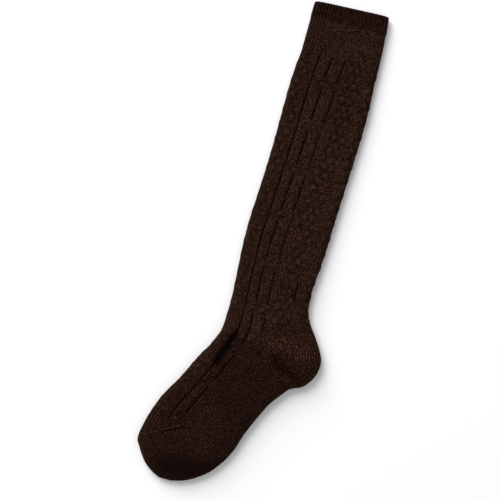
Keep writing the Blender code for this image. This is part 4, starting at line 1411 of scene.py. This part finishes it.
class KNEESOCK_OT_cuff(bpy.types.Operator):
    """Builds the ribbed cuff"""

    bl_idname = "knee_sock.cuff"
    bl_label = "Build Cuff"

    def execute(self, context):
        knit = context.scene.knee_sock
        make_cuff_piece(knit, knit_material("cuff", knit))
        return {"FINISHED"}


class KNEESOCK_OT_leg(bpy.types.Operator):
    """Builds the cabled leg"""

    bl_idname = "knee_sock.leg"
    bl_label = "Build Leg"

    def execute(self, context):
        knit = context.scene.knee_sock
        make_leg_piece(knit, knit_material("leg", knit))
        return {"FINISHED"}


class KNEESOCK_OT_heel(bpy.types.Operator):
    """Builds the plain heel"""

    bl_idname = "knee_sock.heel"
    bl_label = "Build Heel"

    def execute(self, context):
        knit = context.scene.knee_sock
        make_heel_piece(knit, knit_material("heel", knit))
        return {"FINISHED"}


class KNEESOCK_OT_foot(bpy.types.Operator):
    """Builds the foot"""

    bl_idname = "knee_sock.foot"
    bl_label = "Build Foot"

    def execute(self, context):
        knit = context.scene.knee_sock
        make_foot_piece(knit, knit_material("foot", knit))
        return {"FINISHED"}


class KNEESOCK_OT_toe(bpy.types.Operator):
    """Builds the toe cap and its seam"""

    bl_idname = "knee_sock.toe"
    bl_label = "Build Toe"

    def execute(self, context):
        knit = context.scene.knee_sock
        material = knit_material("toe", knit)
        make_toe_piece(knit, material)
        make_toe_seam(knit, material)
        return {"FINISHED"}


class KNEESOCK_OT_stage(bpy.types.Operator):
    """Sets the floor, the lights and the camera"""

    bl_idname = "knee_sock.stage"
    bl_label = "Set Stage"

    def execute(self, context):
        centre = Vector((ANKLE[0] + VIEW_CENTRE[0], ANKLE[1] + VIEW_CENTRE[1], FOLD_RADIUS))
        make_walls()
        floor, light, camera = make_floor(), make_window(centre), make_camera(centre)
        context.scene.view_settings.view_transform = "Standard"
        context.scene.view_settings.look = "None"
        return {"FINISHED"}


class KNEESOCK_PT_panel(bpy.types.Panel):
    """The sock's sizes and its steps"""

    bl_label = "Knee Sock"
    bl_space_type = "VIEW_3D"
    bl_region_type = "UI"
    bl_category = "Knee Sock"

    def draw(self, context):
        for name in KneeSockKnit.__annotations__:
            self.layout.prop(context.scene.knee_sock, name)
        for step in STEPS:
            self.layout.operator(step.bl_idname)


STEPS = (
    KNEESOCK_OT_materials,
    KNEESOCK_OT_cuff,
    KNEESOCK_OT_leg,
    KNEESOCK_OT_heel,
    KNEESOCK_OT_foot,
    KNEESOCK_OT_toe,
    KNEESOCK_OT_stage,
)
CLASSES = (KneeSockKnit, *STEPS, KNEESOCK_PT_panel)


def register():
    for item in CLASSES:
        bpy.utils.register_class(item)
    bpy.types.Scene.knee_sock = PointerProperty(type=KneeSockKnit)


def unregister():
    del bpy.types.Scene.knee_sock
    for item in reversed(CLASSES):
        bpy.utils.unregister_class(item)


def main():
    register()
    bpy.ops.knee_sock.materials()
    bpy.ops.knee_sock.cuff()
    bpy.ops.knee_sock.leg()
    bpy.ops.knee_sock.heel()
    bpy.ops.knee_sock.foot()
    bpy.ops.knee_sock.toe()
    bpy.ops.knee_sock.stage()


if __name__ == "__main__":
    main()
